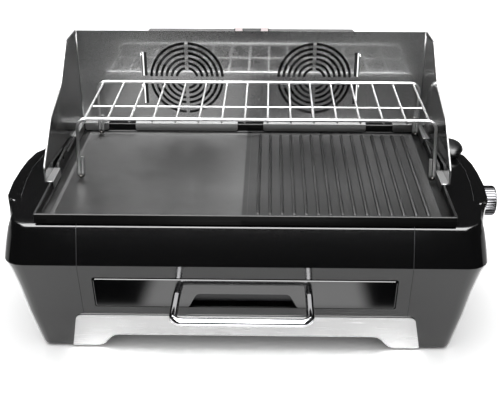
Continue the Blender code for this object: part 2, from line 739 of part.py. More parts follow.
def make_griddle(cast):
    """Cast plate: thin raised rim, gutter, low ridge, flat half and ribbed half."""
    inner = RIM_THICKNESS
    gutter_end = inner + GUTTER_WIDTH
    skirt = PLATE_HALF_WIDTH - DECK_OPENING_HALF + SKIRT_CLEARANCE
    seat_height = DECK_TOP + SEAT_GAP
    rings = [
        plate_ring(skirt, RIM_TOP - PLATE_UNDERSIDE, PLATE_CORNER),
        plate_ring(skirt, seat_height, PLATE_CORNER),
        plate_ring(PLATE_SEAT, seat_height, PLATE_CORNER),
        plate_ring(PLATE_SEAT, RIM_TOP - RIM_HEIGHT, PLATE_CORNER),
        plate_ring(0, RIM_TOP - RIM_HEIGHT, PLATE_CORNER),
        plate_ring(0, RIM_TOP - inner / 4, PLATE_CORNER),
        plate_ring(inner / 4, RIM_TOP, PLATE_CORNER),
        plate_ring(inner * 3 / 4, RIM_TOP, PLATE_CORNER),
        plate_ring(inner, RIM_TOP - inner / 4, PLATE_CORNER),
        plate_ring(inner, RIM_TOP - GUTTER_DEPTH + inner / 2, PLATE_CORNER),
        plate_ring(inner * 3 / 2, RIM_TOP - GUTTER_DEPTH, PLATE_CORNER),
        plate_ring(gutter_end - inner / 2, RIM_TOP - GUTTER_DEPTH, PLATE_CORNER),
        plate_ring(gutter_end, RIM_TOP - RIDGE_DEPTH, PLATE_CORNER),
        plate_ring(gutter_end + RIDGE_WIDTH, RIM_TOP - FLOOR_DEPTH, PLATE_CORNER),
    ]
    plate = solid("griddle_plate", loft(rings), cast)
    floor_height = RIM_TOP - FLOOR_DEPTH
    rib_margin = gutter_end + RIDGE_WIDTH + RIB_END_GAP
    ribs = bmesh.new()
    for k in range(RIB_COUNT):
        loft(rib_bar(RIB_FIRST + RIB_PITCH * k, rib_margin, PLATE_DEPTH - rib_margin,
                     floor_height, floor_height + RIB_HEIGHT), bm=ribs)
    join(plate, solid("ribs", ribs, None))
    lug = fillet([(LUG_FRONT - LUG_RISE, RIM_TOP - RIM_HEIGHT / 2, 0),
                  (LUG_FRONT, RIM_TOP + LUG_RISE, LUG_CORNER),
                  (LUG_FRONT + LUG_LENGTH, RIM_TOP + LUG_RISE, LUG_CORNER),
                  (LUG_FRONT + LUG_LENGTH + LUG_RISE, RIM_TOP - RIM_HEIGHT / 2, 0)], 3)
    lug_middle = LUG_FRONT + LUG_LENGTH / 2
    lug_face = PLATE_HALF_WIDTH - RIM_THICKNESS + HOOK_GAP / 4
    for side in (-1, 1):
        inside, outside = sorted((side * lug_face, side * (lug_face + LUG_THICKNESS)))
        grip = solid("lug", prism(lug, "X", inside, outside), None)
        hole = drum(LUG_HOLE_RADIUS, inside - CUT_OVERRUN, outside + CUT_OVERRUN,
                    (0, lug_middle, RIM_TOP + LUG_RISE / 4), "X", steps=12)
        join(plate, cut(grip, solid("hole", hole, None)))
    spout_y = drain_place()
    spout = drum(SPOUT_RADIUS, RIM_TOP - SPOUT_LENGTH, RIM_TOP - (GUTTER_DEPTH + PLATE_UNDERSIDE) / 2,
                 (0, spout_y, 0), "Z", steps=16)
    join(plate, solid("spout", spout, None))
    drain = drum(DRAIN_RADIUS, RIM_TOP - SPOUT_LENGTH - CUT_OVERRUN, RIM_TOP, (0, spout_y, 0), "Z", steps=16)
    cut(plate, solid("drain", drain, None))
    plate.data.shade_smooth()
    plate.data.set_sharp_from_angle(angle=math.radians(30))
    return plate


def wing_x(y):
    """Inner face of a wing at a depth: the wings splay towards the front."""
    return WALL_HALF_WIDTH + WING_SPLAY * (WALL_FRONT - y) / (WALL_FRONT - WING_FRONT)


def slanted(piece, side):
    """Moves a flat wing, drawn at X = 0 to its thickness, onto its splayed plane."""
    for vertex in piece.data.vertices:
        x, y, _ = vertex.co
        vertex.co.x = side * (wing_x(y) + x)
    if side < 0:
        piece.data.flip_normals()
    return piece


def wing_outline(bottom):
    return [
        (WALL_FRONT + SHEET, bottom, 0),
        (WALL_FRONT + SHEET, RIM_TOP + WALL_HEIGHT, 0),
        (WING_TOP_END, RIM_TOP + WALL_HEIGHT, WING_RADIUS),
        (WING_WAIST_Y, RIM_TOP + WING_WAIST_HEIGHT, WING_WAIST_RADIUS),
        (WING_SHOULDER_Y, RIM_TOP + WING_SHOULDER_HEIGHT, WING_RADIUS),
        (WING_FRONT, RIM_TOP + WING_NOSE_HEIGHT, WING_RADIUS),
        (WING_FRONT, bottom, 0),
    ]


def inset_path(path, distance):
    """Copy of an open path moved sideways, for the inner edge of a hem."""
    moved = []
    for i, point in enumerate(path):
        ahead = Vector(path[min(i + 1, len(path) - 1)])
        behind = Vector(path[max(i - 1, 0)])
        along = (ahead - behind).normalized()
        moved.append((point[0] + along.y * distance, point[1] - along.x * distance))
    return moved


def make_windshield(steel):
    """Back wall and two splayed wings, hooked over the griddle's rim."""
    ledge = RIM_TOP + SEAT_GAP
    ledge_top = ledge + SHEET
    wall_top = RIM_TOP + WALL_HEIGHT
    wall_back = WALL_FRONT + SHEET
    wall = [(WALL_HALF_WIDTH + SHEET, ledge), (WALL_HALF_WIDTH + SHEET, wall_top),
            (-WALL_HALF_WIDTH - SHEET, wall_top), (-WALL_HALF_WIDTH - SHEET, ledge)]
    shield = solid("windshield", prism(wall, "Y", WALL_FRONT, wall_back), steel)

    outline = fillet(wing_outline(ledge), 4)
    free_edge = outline[1:]
    hem = free_edge + list(reversed(inset_path(free_edge, -HEM_WIDTH)))
    hem_lift = (HEM_THICKNESS - SHEET) / 2
    for side in (-1, 1):
        join(shield, slanted(solid("wing", prism(outline, "X", 0, SHEET), None), side))
        edge = solid("hem", prism(hem, "X", -hem_lift, SHEET + hem_lift), None)
        join(shield, slanted(edge, side))

    lip_face = PLATE_HALF_WIDTH - RIM_THICKNESS - HOOK_GAP
    lip_bottom = RIM_TOP - HOOK_DEPTH
    for side in (-1, 1):
        for start, end in ((WING_FRONT, WING_FRONT + TAB_FRONT_LENGTH), (TAB_REAR_START, WALL_FRONT)):
            shelf = [(lip_face - SHEET, start), (wing_x(start) + SHEET / 2, start),
                     (wing_x(end) + SHEET / 2, end), (lip_face - SHEET, end)]
            shelf = [(side * x, y) for x, y in shelf]
            join(shield, solid("shelf", prism(shelf, "Z", ledge, ledge_top), None))
            lip_end = min(end, PLATE_DEPTH - RIM_THICKNESS - 2 * (HOOK_GAP + SHEET))
            lip = fillet([(start, lip_bottom, HOOK_CORNER), (lip_end, lip_bottom, HOOK_CORNER),
                          (lip_end, ledge_top, 0), (start, ledge_top, 0)], 3)
            inner, outer = sorted((side * (lip_face - SHEET), side * lip_face))
            join(shield, solid("lip", prism(lip, "X", inner, outer), None))

    rear_face = PLATE_DEPTH - RIM_THICKNESS - HOOK_GAP
    spans = [(-LIP_OUTER, -LIP_INNER), (LIP_INNER, LIP_OUTER),
             (-lip_face + SHEET + HOOK_GAP, -LIP_SIDE), (LIP_SIDE, lip_face - SHEET - HOOK_GAP)]
    for start, end in spans:
        join(shield, solid("shelf", box((start, rear_face - SHEET, ledge), (end, wall_back, ledge_top)), None))
        lip = fillet([(start, lip_bottom, HOOK_CORNER), (end, lip_bottom, HOOK_CORNER),
                      (end, ledge_top, 0), (start, ledge_top, 0)], 3)
        join(shield, solid("lip", prism(lip, "Y", rear_face - SHEET, rear_face), None))

    slots = bmesh.new()
    grille_z = RIM_TOP + GRILLE_HEIGHT
    for x in (-GRILLE_X, GRILLE_X):
        for ring in range(GRILLE_RINGS):
            radius = GRILLE_FIRST_RADIUS + GRILLE_PITCH * ring
            gap = math.asin(GRILLE_BRIDGE / 2 / radius)
            steps = 6 + ring
            for quarter in range(4):
                first = quarter * math.pi / 2 + gap
                last = (quarter + 1) * math.pi / 2 - gap
                outer = arc((x, grille_z), radius + GRILLE_SLOT / 2, first, last, steps)
                inner = arc((x, grille_z), radius - GRILLE_SLOT / 2, last, first, steps)
                prism(outer + inner, "Y", WALL_FRONT - CUT_OVERRUN, wall_back + CUT_OVERRUN, bm=slots)
    latches = ((LATCH_UPPER, LATCH_UPPER_HEIGHT), (LATCH_LOWER, LATCH_LOWER_HEIGHT))
    for side in (-1, 1):
        for low, height in latches:
            foot = side * (LATCH_X + LATCH_SLOT / 2 + SEAT_GAP)
            inner, outer = sorted((foot, foot + side * SHEET))
            tab = fillet([(WALL_FRONT - LATCH_REACH, RIM_TOP + low, HOOK_CORNER),
                          (WALL_FRONT + SHEET / 2, RIM_TOP + low, 0),
                          (WALL_FRONT + SHEET / 2, RIM_TOP + low + height, 0),
                          (WALL_FRONT - LATCH_REACH, RIM_TOP + low + height, HOOK_CORNER)], 3)
            join(shield, solid("latch", prism(tab, "X", inner, outer), None))
        for low, height in latches:
            inner, outer = sorted((side * (LATCH_X - LATCH_SLOT / 2), side * (LATCH_X + LATCH_SLOT / 2)))
            box((inner, WALL_FRONT - CUT_OVERRUN, RIM_TOP + low),
                (outer, wall_back + CUT_OVERRUN, RIM_TOP + low + height), bm=slots)
    cut(shield, solid("slots", slots, None))
    return shield


def rack_frame_path(y, foot_y):
    """One bent bar of the rack: hairpin foot, leg, bar, leg, hairpin foot."""
    radius = RACK_BAR_RADIUS
    top = RIM_TOP + RACK_HEIGHT
    foot = RIM_TOP - FLOOR_DEPTH + radius + RACK_FOOT_GAP
    left = RACK_CENTRE_X - RACK_HALF_WIDTH
    right = RACK_CENTRE_X + RACK_HALF_WIDTH
    turn = RACK_HAIRPIN / 2
    tip = foot + RACK_HAIRPIN_HEIGHT
    rise = RACK_HAIRPIN_HEIGHT / (top - foot)
    tip_y = between(foot_y, y, rise)
    return bend([
        ((left - RACK_SPREAD * (1 - rise) + RACK_HAIRPIN, tip_y, tip), 0),
        ((left - RACK_SPREAD + RACK_HAIRPIN, foot_y, foot), turn),
        ((left - RACK_SPREAD, foot_y, foot), turn),
        ((left, y, top), RACK_BEND),
        ((right, y, top), RACK_BEND),
        ((right + RACK_SPREAD, foot_y, foot), turn),
        ((right + RACK_SPREAD - RACK_HAIRPIN, foot_y, foot), turn),
        ((right + RACK_SPREAD * (1 - rise) - RACK_HAIRPIN, tip_y, tip), 0),
    ], 4)


def make_rack(chrome):
    """Two bent bars joined by thin cross wires and one mid bar, all welded."""
    rack = solid("warming_rack", wire(rack_frame_path(RACK_FRONT, RACK_FRONT_FOOT), RACK_BAR_RADIUS), chrome)
    join(rack, solid("rear_bar", wire(rack_frame_path(RACK_REAR, RACK_REAR_FOOT), RACK_BAR_RADIUS), None))
    wire_height = RIM_TOP + RACK_HEIGHT - RACK_BAR_RADIUS - RACK_WIRE_RADIUS + RACK_WELD
    first = RACK_CENTRE_X - RACK_WIRE_PITCH * (RACK_WIRES - 1) / 2
    overhang = RACK_BAR_RADIUS / 2
    wires = bmesh.new()
    for k in range(RACK_WIRES):
        x = first + RACK_WIRE_PITCH * k
        path = [(x, RACK_FRONT - overhang, wire_height), (x, RACK_REAR + overhang, wire_height)]
        loft([[Vector(p) + Vector((a, 0, b)) for a, b in disc(RACK_WIRE_RADIUS, 6)] for p in path], bm=wires)
    join(rack, solid("wires", wires, None))
    mid_y = RACK_FRONT + RACK_MID_BAR
    mid_z = wire_height - 2 * RACK_WIRE_RADIUS + RACK_WELD
    last = first + RACK_WIRE_PITCH * (RACK_WIRES - 1)
    mid = rod_between((first - RACK_WIRE_RADIUS, mid_y, mid_z), (last + RACK_WIRE_RADIUS, mid_y, mid_z),
                      RACK_WIRE_RADIUS, 8)
    join(rack, solid("mid_bar", mid, None))
    rack.data.shade_smooth()
    rack.data.set_sharp_from_angle(angle=math.radians(60))
    return rack


def tray_solid(half_width, front, rear, corner, bottom, height, wall):
    """Open pan with thin walls."""
    outer = round_box_outline(half_width, front, rear, corner)
    inner = round_box_outline(half_width - wall, front + wall, rear - wall, corner - wall)
    top = bottom + height
    return loft([at_height(outer, bottom), at_height(outer, top), at_height(inner, top),
                 at_height(inner, bottom + wall)])


def element_height():
    return RIM_TOP - PLATE_UNDERSIDE - ELEMENT_DROP


def reflector_bottom():
    return RIM_TOP - PLATE_UNDERSIDE - REFLECTOR_DROP - REFLECTOR_HEIGHT


def make_heater(aluminised, element_steel):
    """Reflector pan, the looped element and the two strips that it lies on."""
    element_z = element_height()
    pan_bottom = reflector_bottom()
    pan = solid("heat_reflector", tray_solid(
        REFLECTOR_HALF_WIDTH, REFLECTOR_FRONT, REFLECTOR_REAR, REFLECTOR_CORNER,
        pan_bottom, REFLECTOR_HEIGHT, REFLECTOR_WALL), aluminised)
    last_run = ELEMENT_FRONT + ELEMENT_PITCH * (ELEMENT_TURNS - 1)
    for y in (ELEMENT_FRONT, last_run):
        hole = drum(ELEMENT_RADIUS + SHAFT_CLEARANCE, REFLECTOR_HALF_WIDTH - CUT_OVERRUN,
                    REFLECTOR_HALF_WIDTH + CUT_OVERRUN, (0, y, element_z), "X", steps=16)
        cut(pan, solid("terminal_hole", hole, None))
    corners = [((ELEMENT_TERMINAL, ELEMENT_FRONT, element_z), 0)]
    for k in range(ELEMENT_TURNS):
        y = ELEMENT_FRONT + ELEMENT_PITCH * k
        here, there = (ELEMENT_RIGHT, -ELEMENT_LEFT) if k % 2 == 0 else (-ELEMENT_LEFT, ELEMENT_RIGHT)
        if k > 0:
            corners.append(((here, y, element_z), ELEMENT_PITCH * 0.4))
        if k < ELEMENT_TURNS - 1:
            corners.append(((there, y, element_z), ELEMENT_PITCH * 0.4))
    corners.append(((ELEMENT_TERMINAL, last_run, element_z), 0))
    solid("heating_element", wire(bend(corners, 6), ELEMENT_RADIUS), element_steel, math.radians(60))
    strip_top = element_z - ELEMENT_RADIUS - SEAT_GAP
    for name, x in (("left", -BRACKET_X), ("right", BRACKET_X)):
        strip = box((x - BRACKET_THICKNESS / 2, REFLECTOR_FRONT + BRACKET_END_GAP,
                     pan_bottom + REFLECTOR_WALL + SEAT_GAP),
                    (x + BRACKET_THICKNESS / 2, REFLECTOR_REAR - BRACKET_END_GAP, strip_top))
        solid(f"element_bracket_{name}", strip, aluminised)


def make_drawer(plastic, chrome, dark_steel, zinc):
    """Drawer front with its finger notch, handle, drip tray, runners and side plates."""
    side = DRAWER_HALF_WIDTH - DRAWER_GAP
    low = DRAWER_BOTTOM + RUN_GAP
    high = DRAWER_TOP - DRAWER_GAP
    rings = []
    for lift, inset in ((None, 0.0), (DRAWER_PROUD - DRAWER_EDGE, 0.0), (DRAWER_PROUD, DRAWER_EDGE)):
        face = fillet([(side - inset, low + inset, DRAWER_CORNER), (side - inset, high - inset, DRAWER_CORNER),
                       (inset - side, high - inset, DRAWER_CORNER), (inset - side, low + inset, DRAWER_CORNER)], 3)
        rings.append([(x, DRAWER_BACK if lift is None else front_plane(z) - lift, z) for x, z in face])
    front = solid("drawer_front", loft(rings), plastic)
    top = low + NOTCH_HEIGHT
    notch = fillet([(NOTCH_HALF_BOTTOM, low - CUT_OVERRUN, 0), (NOTCH_HALF_BOTTOM, low, 0),
                    (NOTCH_HALF_FOOT, low + DRAWER_CORNER / 3, NOTCH_CORNER / 2),
                    (NOTCH_HALF_TOP, top, NOTCH_CORNER), (-NOTCH_HALF_TOP, top, NOTCH_CORNER),
                    (-NOTCH_HALF_FOOT, low + DRAWER_CORNER / 3, NOTCH_CORNER / 2),
                    (-NOTCH_HALF_BOTTOM, low, 0), (-NOTCH_HALF_BOTTOM, low - CUT_OVERRUN, 0)], 4)
    notch = [(HANDLE_X + x, z) for x, z in notch]
    cut(front, solid("notch", prism(notch, "Y", CREASE_FRONT - CUT_OVERRUN, DRAWER_BACK + CUT_OVERRUN), None))

    handle_face = front_plane(HANDLE_HEIGHT + HANDLE_RADIUS) - DRAWER_PROUD - SEAT_GAP
    left = HANDLE_X - HANDLE_HALF_WIDTH
    right = HANDLE_X + HANDLE_HALF_WIDTH
    path = bend([((left, handle_face, HANDLE_HEIGHT), 0), ((left, -HANDLE_REACH, HANDLE_HEIGHT), HANDLE_BEND),
                 ((right, -HANDLE_REACH, HANDLE_HEIGHT), HANDLE_BEND), ((right, handle_face, HANDLE_HEIGHT), 0)], 6)
    solid("drawer_handle", wire(path, HANDLE_RADIUS, 12), chrome, math.radians(60))

    runner_low = DRAWER_BOTTOM + RUN_GAP
    tray_low = runner_low + RUNNER_THICKNESS + SEAT_GAP
    solid("drip_tray", tray_solid(TRAY_HALF_WIDTH, DRAWER_BACK + SEAT_GAP, TRAY_REAR, TRAY_CORNER,
                                  tray_low, TRAY_HEIGHT, TRAY_WALL), dark_steel)
    runner_out = TRAY_HALF_WIDTH + RUN_GAP + RUNNER_THICKNESS
    base_top = BASE_BOTTOM + BASE_THICKNESS + SEAT_GAP
    for name, sign in (("left", -1), ("right", 1)):
        section = [(runner_out, runner_low), (runner_out, runner_low + RUNNER_HEIGHT),
                   (runner_out - RUNNER_THICKNESS, runner_low + RUNNER_HEIGHT),
                   (runner_out - RUNNER_THICKNESS, runner_low + RUNNER_THICKNESS),
                   (runner_out - RUNNER_FLANGE, runner_low + RUNNER_THICKNESS),
                   (runner_out - RUNNER_FLANGE, runner_low)]
        section = [(sign * x, z) for x, z in section]
        solid(f"drawer_runner_{name}", prism(section, "Y", RUNNER_FRONT, RUNNER_REAR), zinc)
        near = sign * (runner_out + SEAT_GAP)
        far = sign * (runner_out + SEAT_GAP + CHASSIS_THICKNESS)
        plate = box((min(near, far), RUNNER_FRONT, base_top),
                    (max(near, far), RUNNER_REAR, reflector_bottom() - SEAT_GAP))
        solid(f"side_plate_{name}", plate, zinc)


def knob_outline(radius, depth):
    """Fine ribs around the knob: a crest and a root for each."""
    points = []
    for k in range(KNOB_RIBS * 2):
        angle = math.tau * k / (KNOB_RIBS * 2)
        r = radius if k % 2 == 0 else radius - depth
        points.append((r * math.cos(angle), r * math.sin(angle)))
    return points


def make_knob(chrome, plastic, dark_steel):
    """Thermostat inside, shaft through the wall, bezel and ribbed knob outside."""
    centre = (0, KNOB_Y, KNOB_HEIGHT)
    knob_start = KNOB_END - KNOB_LENGTH
    levels = ((knob_start, KNOB_RADIUS, KNOB_RIB_DEPTH), (KNOB_END - KNOB_EDGE, KNOB_RADIUS, KNOB_RIB_DEPTH),
              (KNOB_END - KNOB_EDGE * 0.3, KNOB_RADIUS - KNOB_EDGE * 0.35, 0),
              (KNOB_END, KNOB_RADIUS - KNOB_EDGE, 0))
    rings = [[(x, KNOB_Y + a, KNOB_HEIGHT + b) for a, b in knob_outline(radius, depth)]
             for x, radius, depth in levels]
    knob = solid("control_knob", loft(rings), chrome)
    bore = drum(SHAFT_RADIUS + SEAT_GAP, knob_start - CUT_OVERRUN, knob_start + KNOB_BORE_DEPTH + SEAT_GAP,
                centre, "X", steps=16)
    set_origin(cut(knob, solid("bore", bore, None)), (knob_start, KNOB_Y, KNOB_HEIGHT))

    shaft = drum(SHAFT_RADIUS, THERMOSTAT_FACE + SEAT_GAP, knob_start + KNOB_BORE_DEPTH, centre, "X", steps=16)
    set_origin(solid("thermostat_shaft", shaft, dark_steel, math.radians(50)),
               (THERMOSTAT_FACE, KNOB_Y, KNOB_HEIGHT))
    bezel_end = knob_start - RUN_GAP
    bezel = turned([(BEZEL_RADIUS, BEZEL_START), (BEZEL_RADIUS, bezel_end),
                    (SHAFT_RADIUS + SHAFT_CLEARANCE, bezel_end),
                    (SHAFT_RADIUS + SHAFT_CLEARANCE, BEZEL_START)], centre, "X")
    solid("knob_bezel", bezel, plastic, math.radians(50))
    half = THERMOSTAT_WIDTH / 2
    body = box((THERMOSTAT_FACE - THERMOSTAT_DEPTH, KNOB_Y - half, KNOB_HEIGHT - half),
               (THERMOSTAT_FACE, KNOB_Y + half, KNOB_HEIGHT + half))
    solid("thermostat", body, dark_steel)


def make_inlet(plastic, rubber):
    """Domed hood on the right shoulder, with the gland of the mains lead at its rear."""
    deck = DECK_TOP + SEAT_GAP
    rings = []
    for spread, rise in HOOD_SHARES:
        rings.append([(HOOD_X + HOOD_HALF_WIDTH * spread * a, HOOD_Y + HOOD_HALF_LENGTH * spread * b,
                       deck + HOOD_HEIGHT * rise) for a, b in disc(1, 24)])
    hood = solid("inlet_hood", loft(rings), plastic)
    gland_z = deck + HOOD_HEIGHT / 2
    start = HOOD_Y + HOOD_HALF_LENGTH - GLAND_DEPTH
    end = HOOD_Y + HOOD_HALF_LENGTH + GLAND_TAIL
    hole = drum(GLAND_RADIUS + SEAT_GAP, start, end, (HOOD_X, 0, gland_z), "Y", steps=20)
    cut(hood, solid("gland_hole", hole, None))
    smooth_panel(hood, math.radians(40))
    gland = turned([(GLAND_RADIUS, start + SEAT_GAP), (GLAND_RADIUS, end), (GLAND_BORE, end),
                    (GLAND_BORE, start + SEAT_GAP)], (HOOD_X, 0, gland_z), "Y", 20)
    solid("cord_gland", gland, rubber, math.radians(50))


def make_fan_box(steel, screw_steel):
    """Box behind the windshield: shell with two ports, and a vented rear cover."""
    front = WALL_FRONT + SHEET + BOX_FRONT_GAP
    rear = front + BOX_DEPTH
    bottom = DECK_TOP + SEAT_GAP
    wall = BOX_WALL

    def outline(inset):
        shoulder = BOX_TOP - BOX_SHOULDER_DROP
        return [(BOX_HALF_WIDTH - inset, bottom + inset), (BOX_HALF_WIDTH - inset, shoulder - inset / 2),
                (BOX_TOP_HALF_WIDTH - inset / 2, BOX_TOP - inset), (-BOX_TOP_HALF_WIDTH + inset / 2, BOX_TOP - inset),
                (-BOX_HALF_WIDTH + inset, shoulder - inset / 2), (-BOX_HALF_WIDTH + inset, bottom + inset)]

    def level(inset, y):
        return [(x, y, z) for x, z in outline(inset)]

    shell = solid("fan_housing", loft([level(0, front), level(0, rear), level(wall, rear),
                                       level(wall, front + wall)]), steel)
    centre_z = RIM_TOP + GRILLE_HEIGHT
    for x in (-GRILLE_X, GRILLE_X):
        port = drum(BOX_PORT_RADIUS, front - CUT_OVERRUN, front + wall + CUT_OVERRUN, (x, 0, centre_z), "Y", steps=32)
        cut(shell, solid("port", port, None))
    for x in (SWITCH_CENTRE_X - SWITCH_OFFSET_X, SWITCH_CENTRE_X + SWITCH_OFFSET_X):
        hole = switch_hole(x, BOX_TOP - wall - CUT_OVERRUN, BOX_TOP + CUT_OVERRUN)
        cut(shell, solid("switch_hole", hole, None))

    cover_front = rear + SEAT_GAP
    cover = solid("fan_housing_cover", prism(outline(0), "Y", cover_front, cover_front + COVER_THICKNESS), steel)
    vents = bmesh.new()
    for x in (-GRILLE_X, GRILLE_X):
        for k in range(VENT_COUNT):
            z = centre_z + VENT_PITCH * (k - (VENT_COUNT - 1) / 2)
            box((x - VENT_LENGTH / 2, rear - CUT_OVERRUN, z - VENT_HEIGHT / 2),
                (x + VENT_LENGTH / 2, rear + COVER_THICKNESS + CUT_OVERRUN, z + VENT_HEIGHT / 2), bm=vents)
    cut(cover, solid("vents", vents, None))
    screw_back = cover_front + COVER_THICKNESS + SEAT_GAP
    inset = COVER_SCREW_INSET
    places = [(side * (BOX_HALF_WIDTH - inset), z) for side in (-1, 1)
              for z in (bottom + inset, BOX_TOP - BOX_SHOULDER_DROP - inset)]
    for k, (x, z) in enumerate(places, 1):
        head = drum(COVER_SCREW_RADIUS, screw_back, screw_back + COVER_SCREW_HEIGHT, (x, 0, z), "Y",
                    COVER_SCREW_HEIGHT / 3, steps=12)
        solid(f"cover_screw_{k}", head, screw_steel, math.radians(50))


def switch_hole(x, low, high):
    half_width = ROCKER_WIDTH / 2 + RUN_GAP
    half_length = ROCKER_LENGTH / 2 + RUN_GAP
    middle = SWITCH_STRIP_FRONT + SWITCH_STRIP_DEPTH / 2
    return box((x - half_width, middle - half_length, low), (x + half_width, middle + half_length, high))


def make_switches(plastic, key_plastic, dark_steel):
    """Black strip with two rockers, one for each fan, and their contact bodies below."""
    low = BOX_TOP + SEAT_GAP
    high = low + SWITCH_STRIP_THICKNESS
    outline = fillet([
        (SWITCH_CENTRE_X + SWITCH_STRIP_HALF, SWITCH_STRIP_FRONT, DRAWER_CORNER),
        (SWITCH_CENTRE_X + SWITCH_STRIP_HALF, SWITCH_STRIP_FRONT + SWITCH_STRIP_DEPTH, DRAWER_CORNER),
        (SWITCH_CENTRE_X - SWITCH_STRIP_HALF, SWITCH_STRIP_FRONT + SWITCH_STRIP_DEPTH, DRAWER_CORNER),
        (SWITCH_CENTRE_X - SWITCH_STRIP_HALF, SWITCH_STRIP_FRONT, DRAWER_CORNER)], 3)
    strip = solid("switch_strip", prism(outline, "Z", low, high), plastic)
    middle = SWITCH_STRIP_FRONT + SWITCH_STRIP_DEPTH / 2
    for name, x in (("left", SWITCH_CENTRE_X - SWITCH_OFFSET_X), ("right", SWITCH_CENTRE_X + SWITCH_OFFSET_X)):
        cut(strip, solid("switch_hole", switch_hole(x, low - CUT_OVERRUN, high + CUT_OVERRUN), None))
        half = ROCKER_LENGTH / 2
        top = high + ROCKER_RISE
        pivot = (x, middle, low)
        side = [(middle - half, low - ROCKER_DROP / 3), (middle, low - ROCKER_DROP), (middle + half, low - ROCKER_DROP / 3),
                (middle + half, top), (middle, top - ROCKER_RISE / 5), (middle - half, top)]
        rocker = solid(f"rocker_{name}", prism(side, "X", x - ROCKER_WIDTH / 2, x + ROCKER_WIDTH / 2), key_plastic)
        set_origin(rocker, pivot)
        rocker.data.transform(Matrix.Rotation(ROCKER_TILT, 4, "X"))
        body_top = BOX_TOP - BOX_WALL - SEAT_GAP
        body = box((x - ROCKER_WIDTH / 2 - BOX_WALL, middle - half - BOX_WALL, body_top - SWITCH_BODY_HEIGHT),
                   (x + ROCKER_WIDTH / 2 + BOX_WALL, middle + half + BOX_WALL, body_top))
        contacts = solid(f"switch_body_{name}", body, dark_steel)
        cut(contacts, solid("well", switch_hole(x, body_top - ROCKER_DROP, body_top + CUT_OVERRUN), None))


def fan_blade(index):
    """One pitched blade as a ring of sections from hub to tip."""
    rings = []
    for radius, length in ((FAN_HUB_RADIUS - FAN_HUB_WALL / 2, FAN_BLADE_SPAN * 0.62), (FAN_TIP_RADIUS, FAN_BLADE_SPAN)):
        along = Vector((math.cos(FAN_BLADE_PITCH), math.sin(FAN_BLADE_PITCH), 0)) * min(
            length, FAN_HUB_DEPTH * 0.85 / math.sin(FAN_BLADE_PITCH)) / 2
        across = Vector((-math.sin(FAN_BLADE_PITCH), math.cos(FAN_BLADE_PITCH), 0)) * FAN_BLADE_THICKNESS / 2
        flat = [-along - across, along - across, along + across, -along + across]
        rings.append([(p.x, FAN_HUB_DEPTH / 2 + p.y, radius) for p in flat])
    turn = Matrix.Rotation(math.tau * index / FAN_BLADES, 3, "Y")
    return loft([[turn @ Vector(p) for p in ring] for ring in rings])


def make_fans(plastic, dark_steel, fan_plastic):
    """Axial fans: square frame with struts, motor in the hub, seven-blade impeller."""
    front = WALL_FRONT + SHEET + BOX_FRONT_GAP + BOX_WALL + SEAT_GAP
    rear = front + FAN_FRAME_DEPTH
    centre_z = RIM_TOP + GRILLE_HEIGHT
    for name, x in (("left", -GRILLE_X), ("right", GRILLE_X)):
        centre = (x, 0, centre_z)
        half = FAN_FRAME_HALF
        frame = solid(f"fan_frame_{name}", box((x - half, front, centre_z - half), (x + half, rear, centre_z + half)),
                      plastic)
        duct = drum(FAN_DUCT_RADIUS, front - CUT_OVERRUN, rear + CUT_OVERRUN, centre, "Y", steps=32)
        cut(frame, solid("duct", duct, None))
        strut_front = rear - FAN_STRUT_DEPTH
        spider = solid("spider", drum(FAN_BASE_RADIUS, strut_front, rear, centre, "Y", steps=20), None)
        for turn in (math.pi / 4, math.pi * 3 / 4):
            reach = FAN_DUCT_RADIUS + FAN_STRUT_WIDTH / 2
            strut = solid("strut", box((-reach, strut_front + SEAT_GAP, -FAN_STRUT_WIDTH / 2),
                                       (reach, rear - SEAT_GAP, FAN_STRUT_WIDTH / 2)), None)
            strut.data.transform(Matrix.Translation(centre) @ Matrix.Rotation(turn, 4, "Y"))
            join(spider, strut)
        join(frame, spider)
        motor_rear = strut_front - SEAT_GAP
        motor = drum(MOTOR_RADIUS, motor_rear - MOTOR_LENGTH, motor_rear, centre, "Y", steps=20)
        solid(f"fan_motor_{name}", motor, dark_steel, math.radians(50))
        hub_rear = strut_front - RUN_GAP
        hub_front = hub_rear - FAN_HUB_DEPTH
        cup = hub_rear - MOTOR_LENGTH - RUN_GAP
        hub = turned([(0, hub_front), (FAN_HUB_RADIUS, hub_front), (FAN_HUB_RADIUS, hub_rear),
                      (FAN_HUB_RADIUS - FAN_HUB_WALL, hub_rear), (FAN_HUB_RADIUS - FAN_HUB_WALL, cup), (0, cup)],
                     centre, "Y")
        fan = solid(f"fan_{name}", hub, fan_plastic)
        for k in range(FAN_BLADES):
            blade = solid("blade", fan_blade(k), None)
            blade.data.transform(Matrix.Translation((x, hub_front, centre_z)))
            join(fan, blade)
        set_origin(fan, (x, hub_front, centre_z))


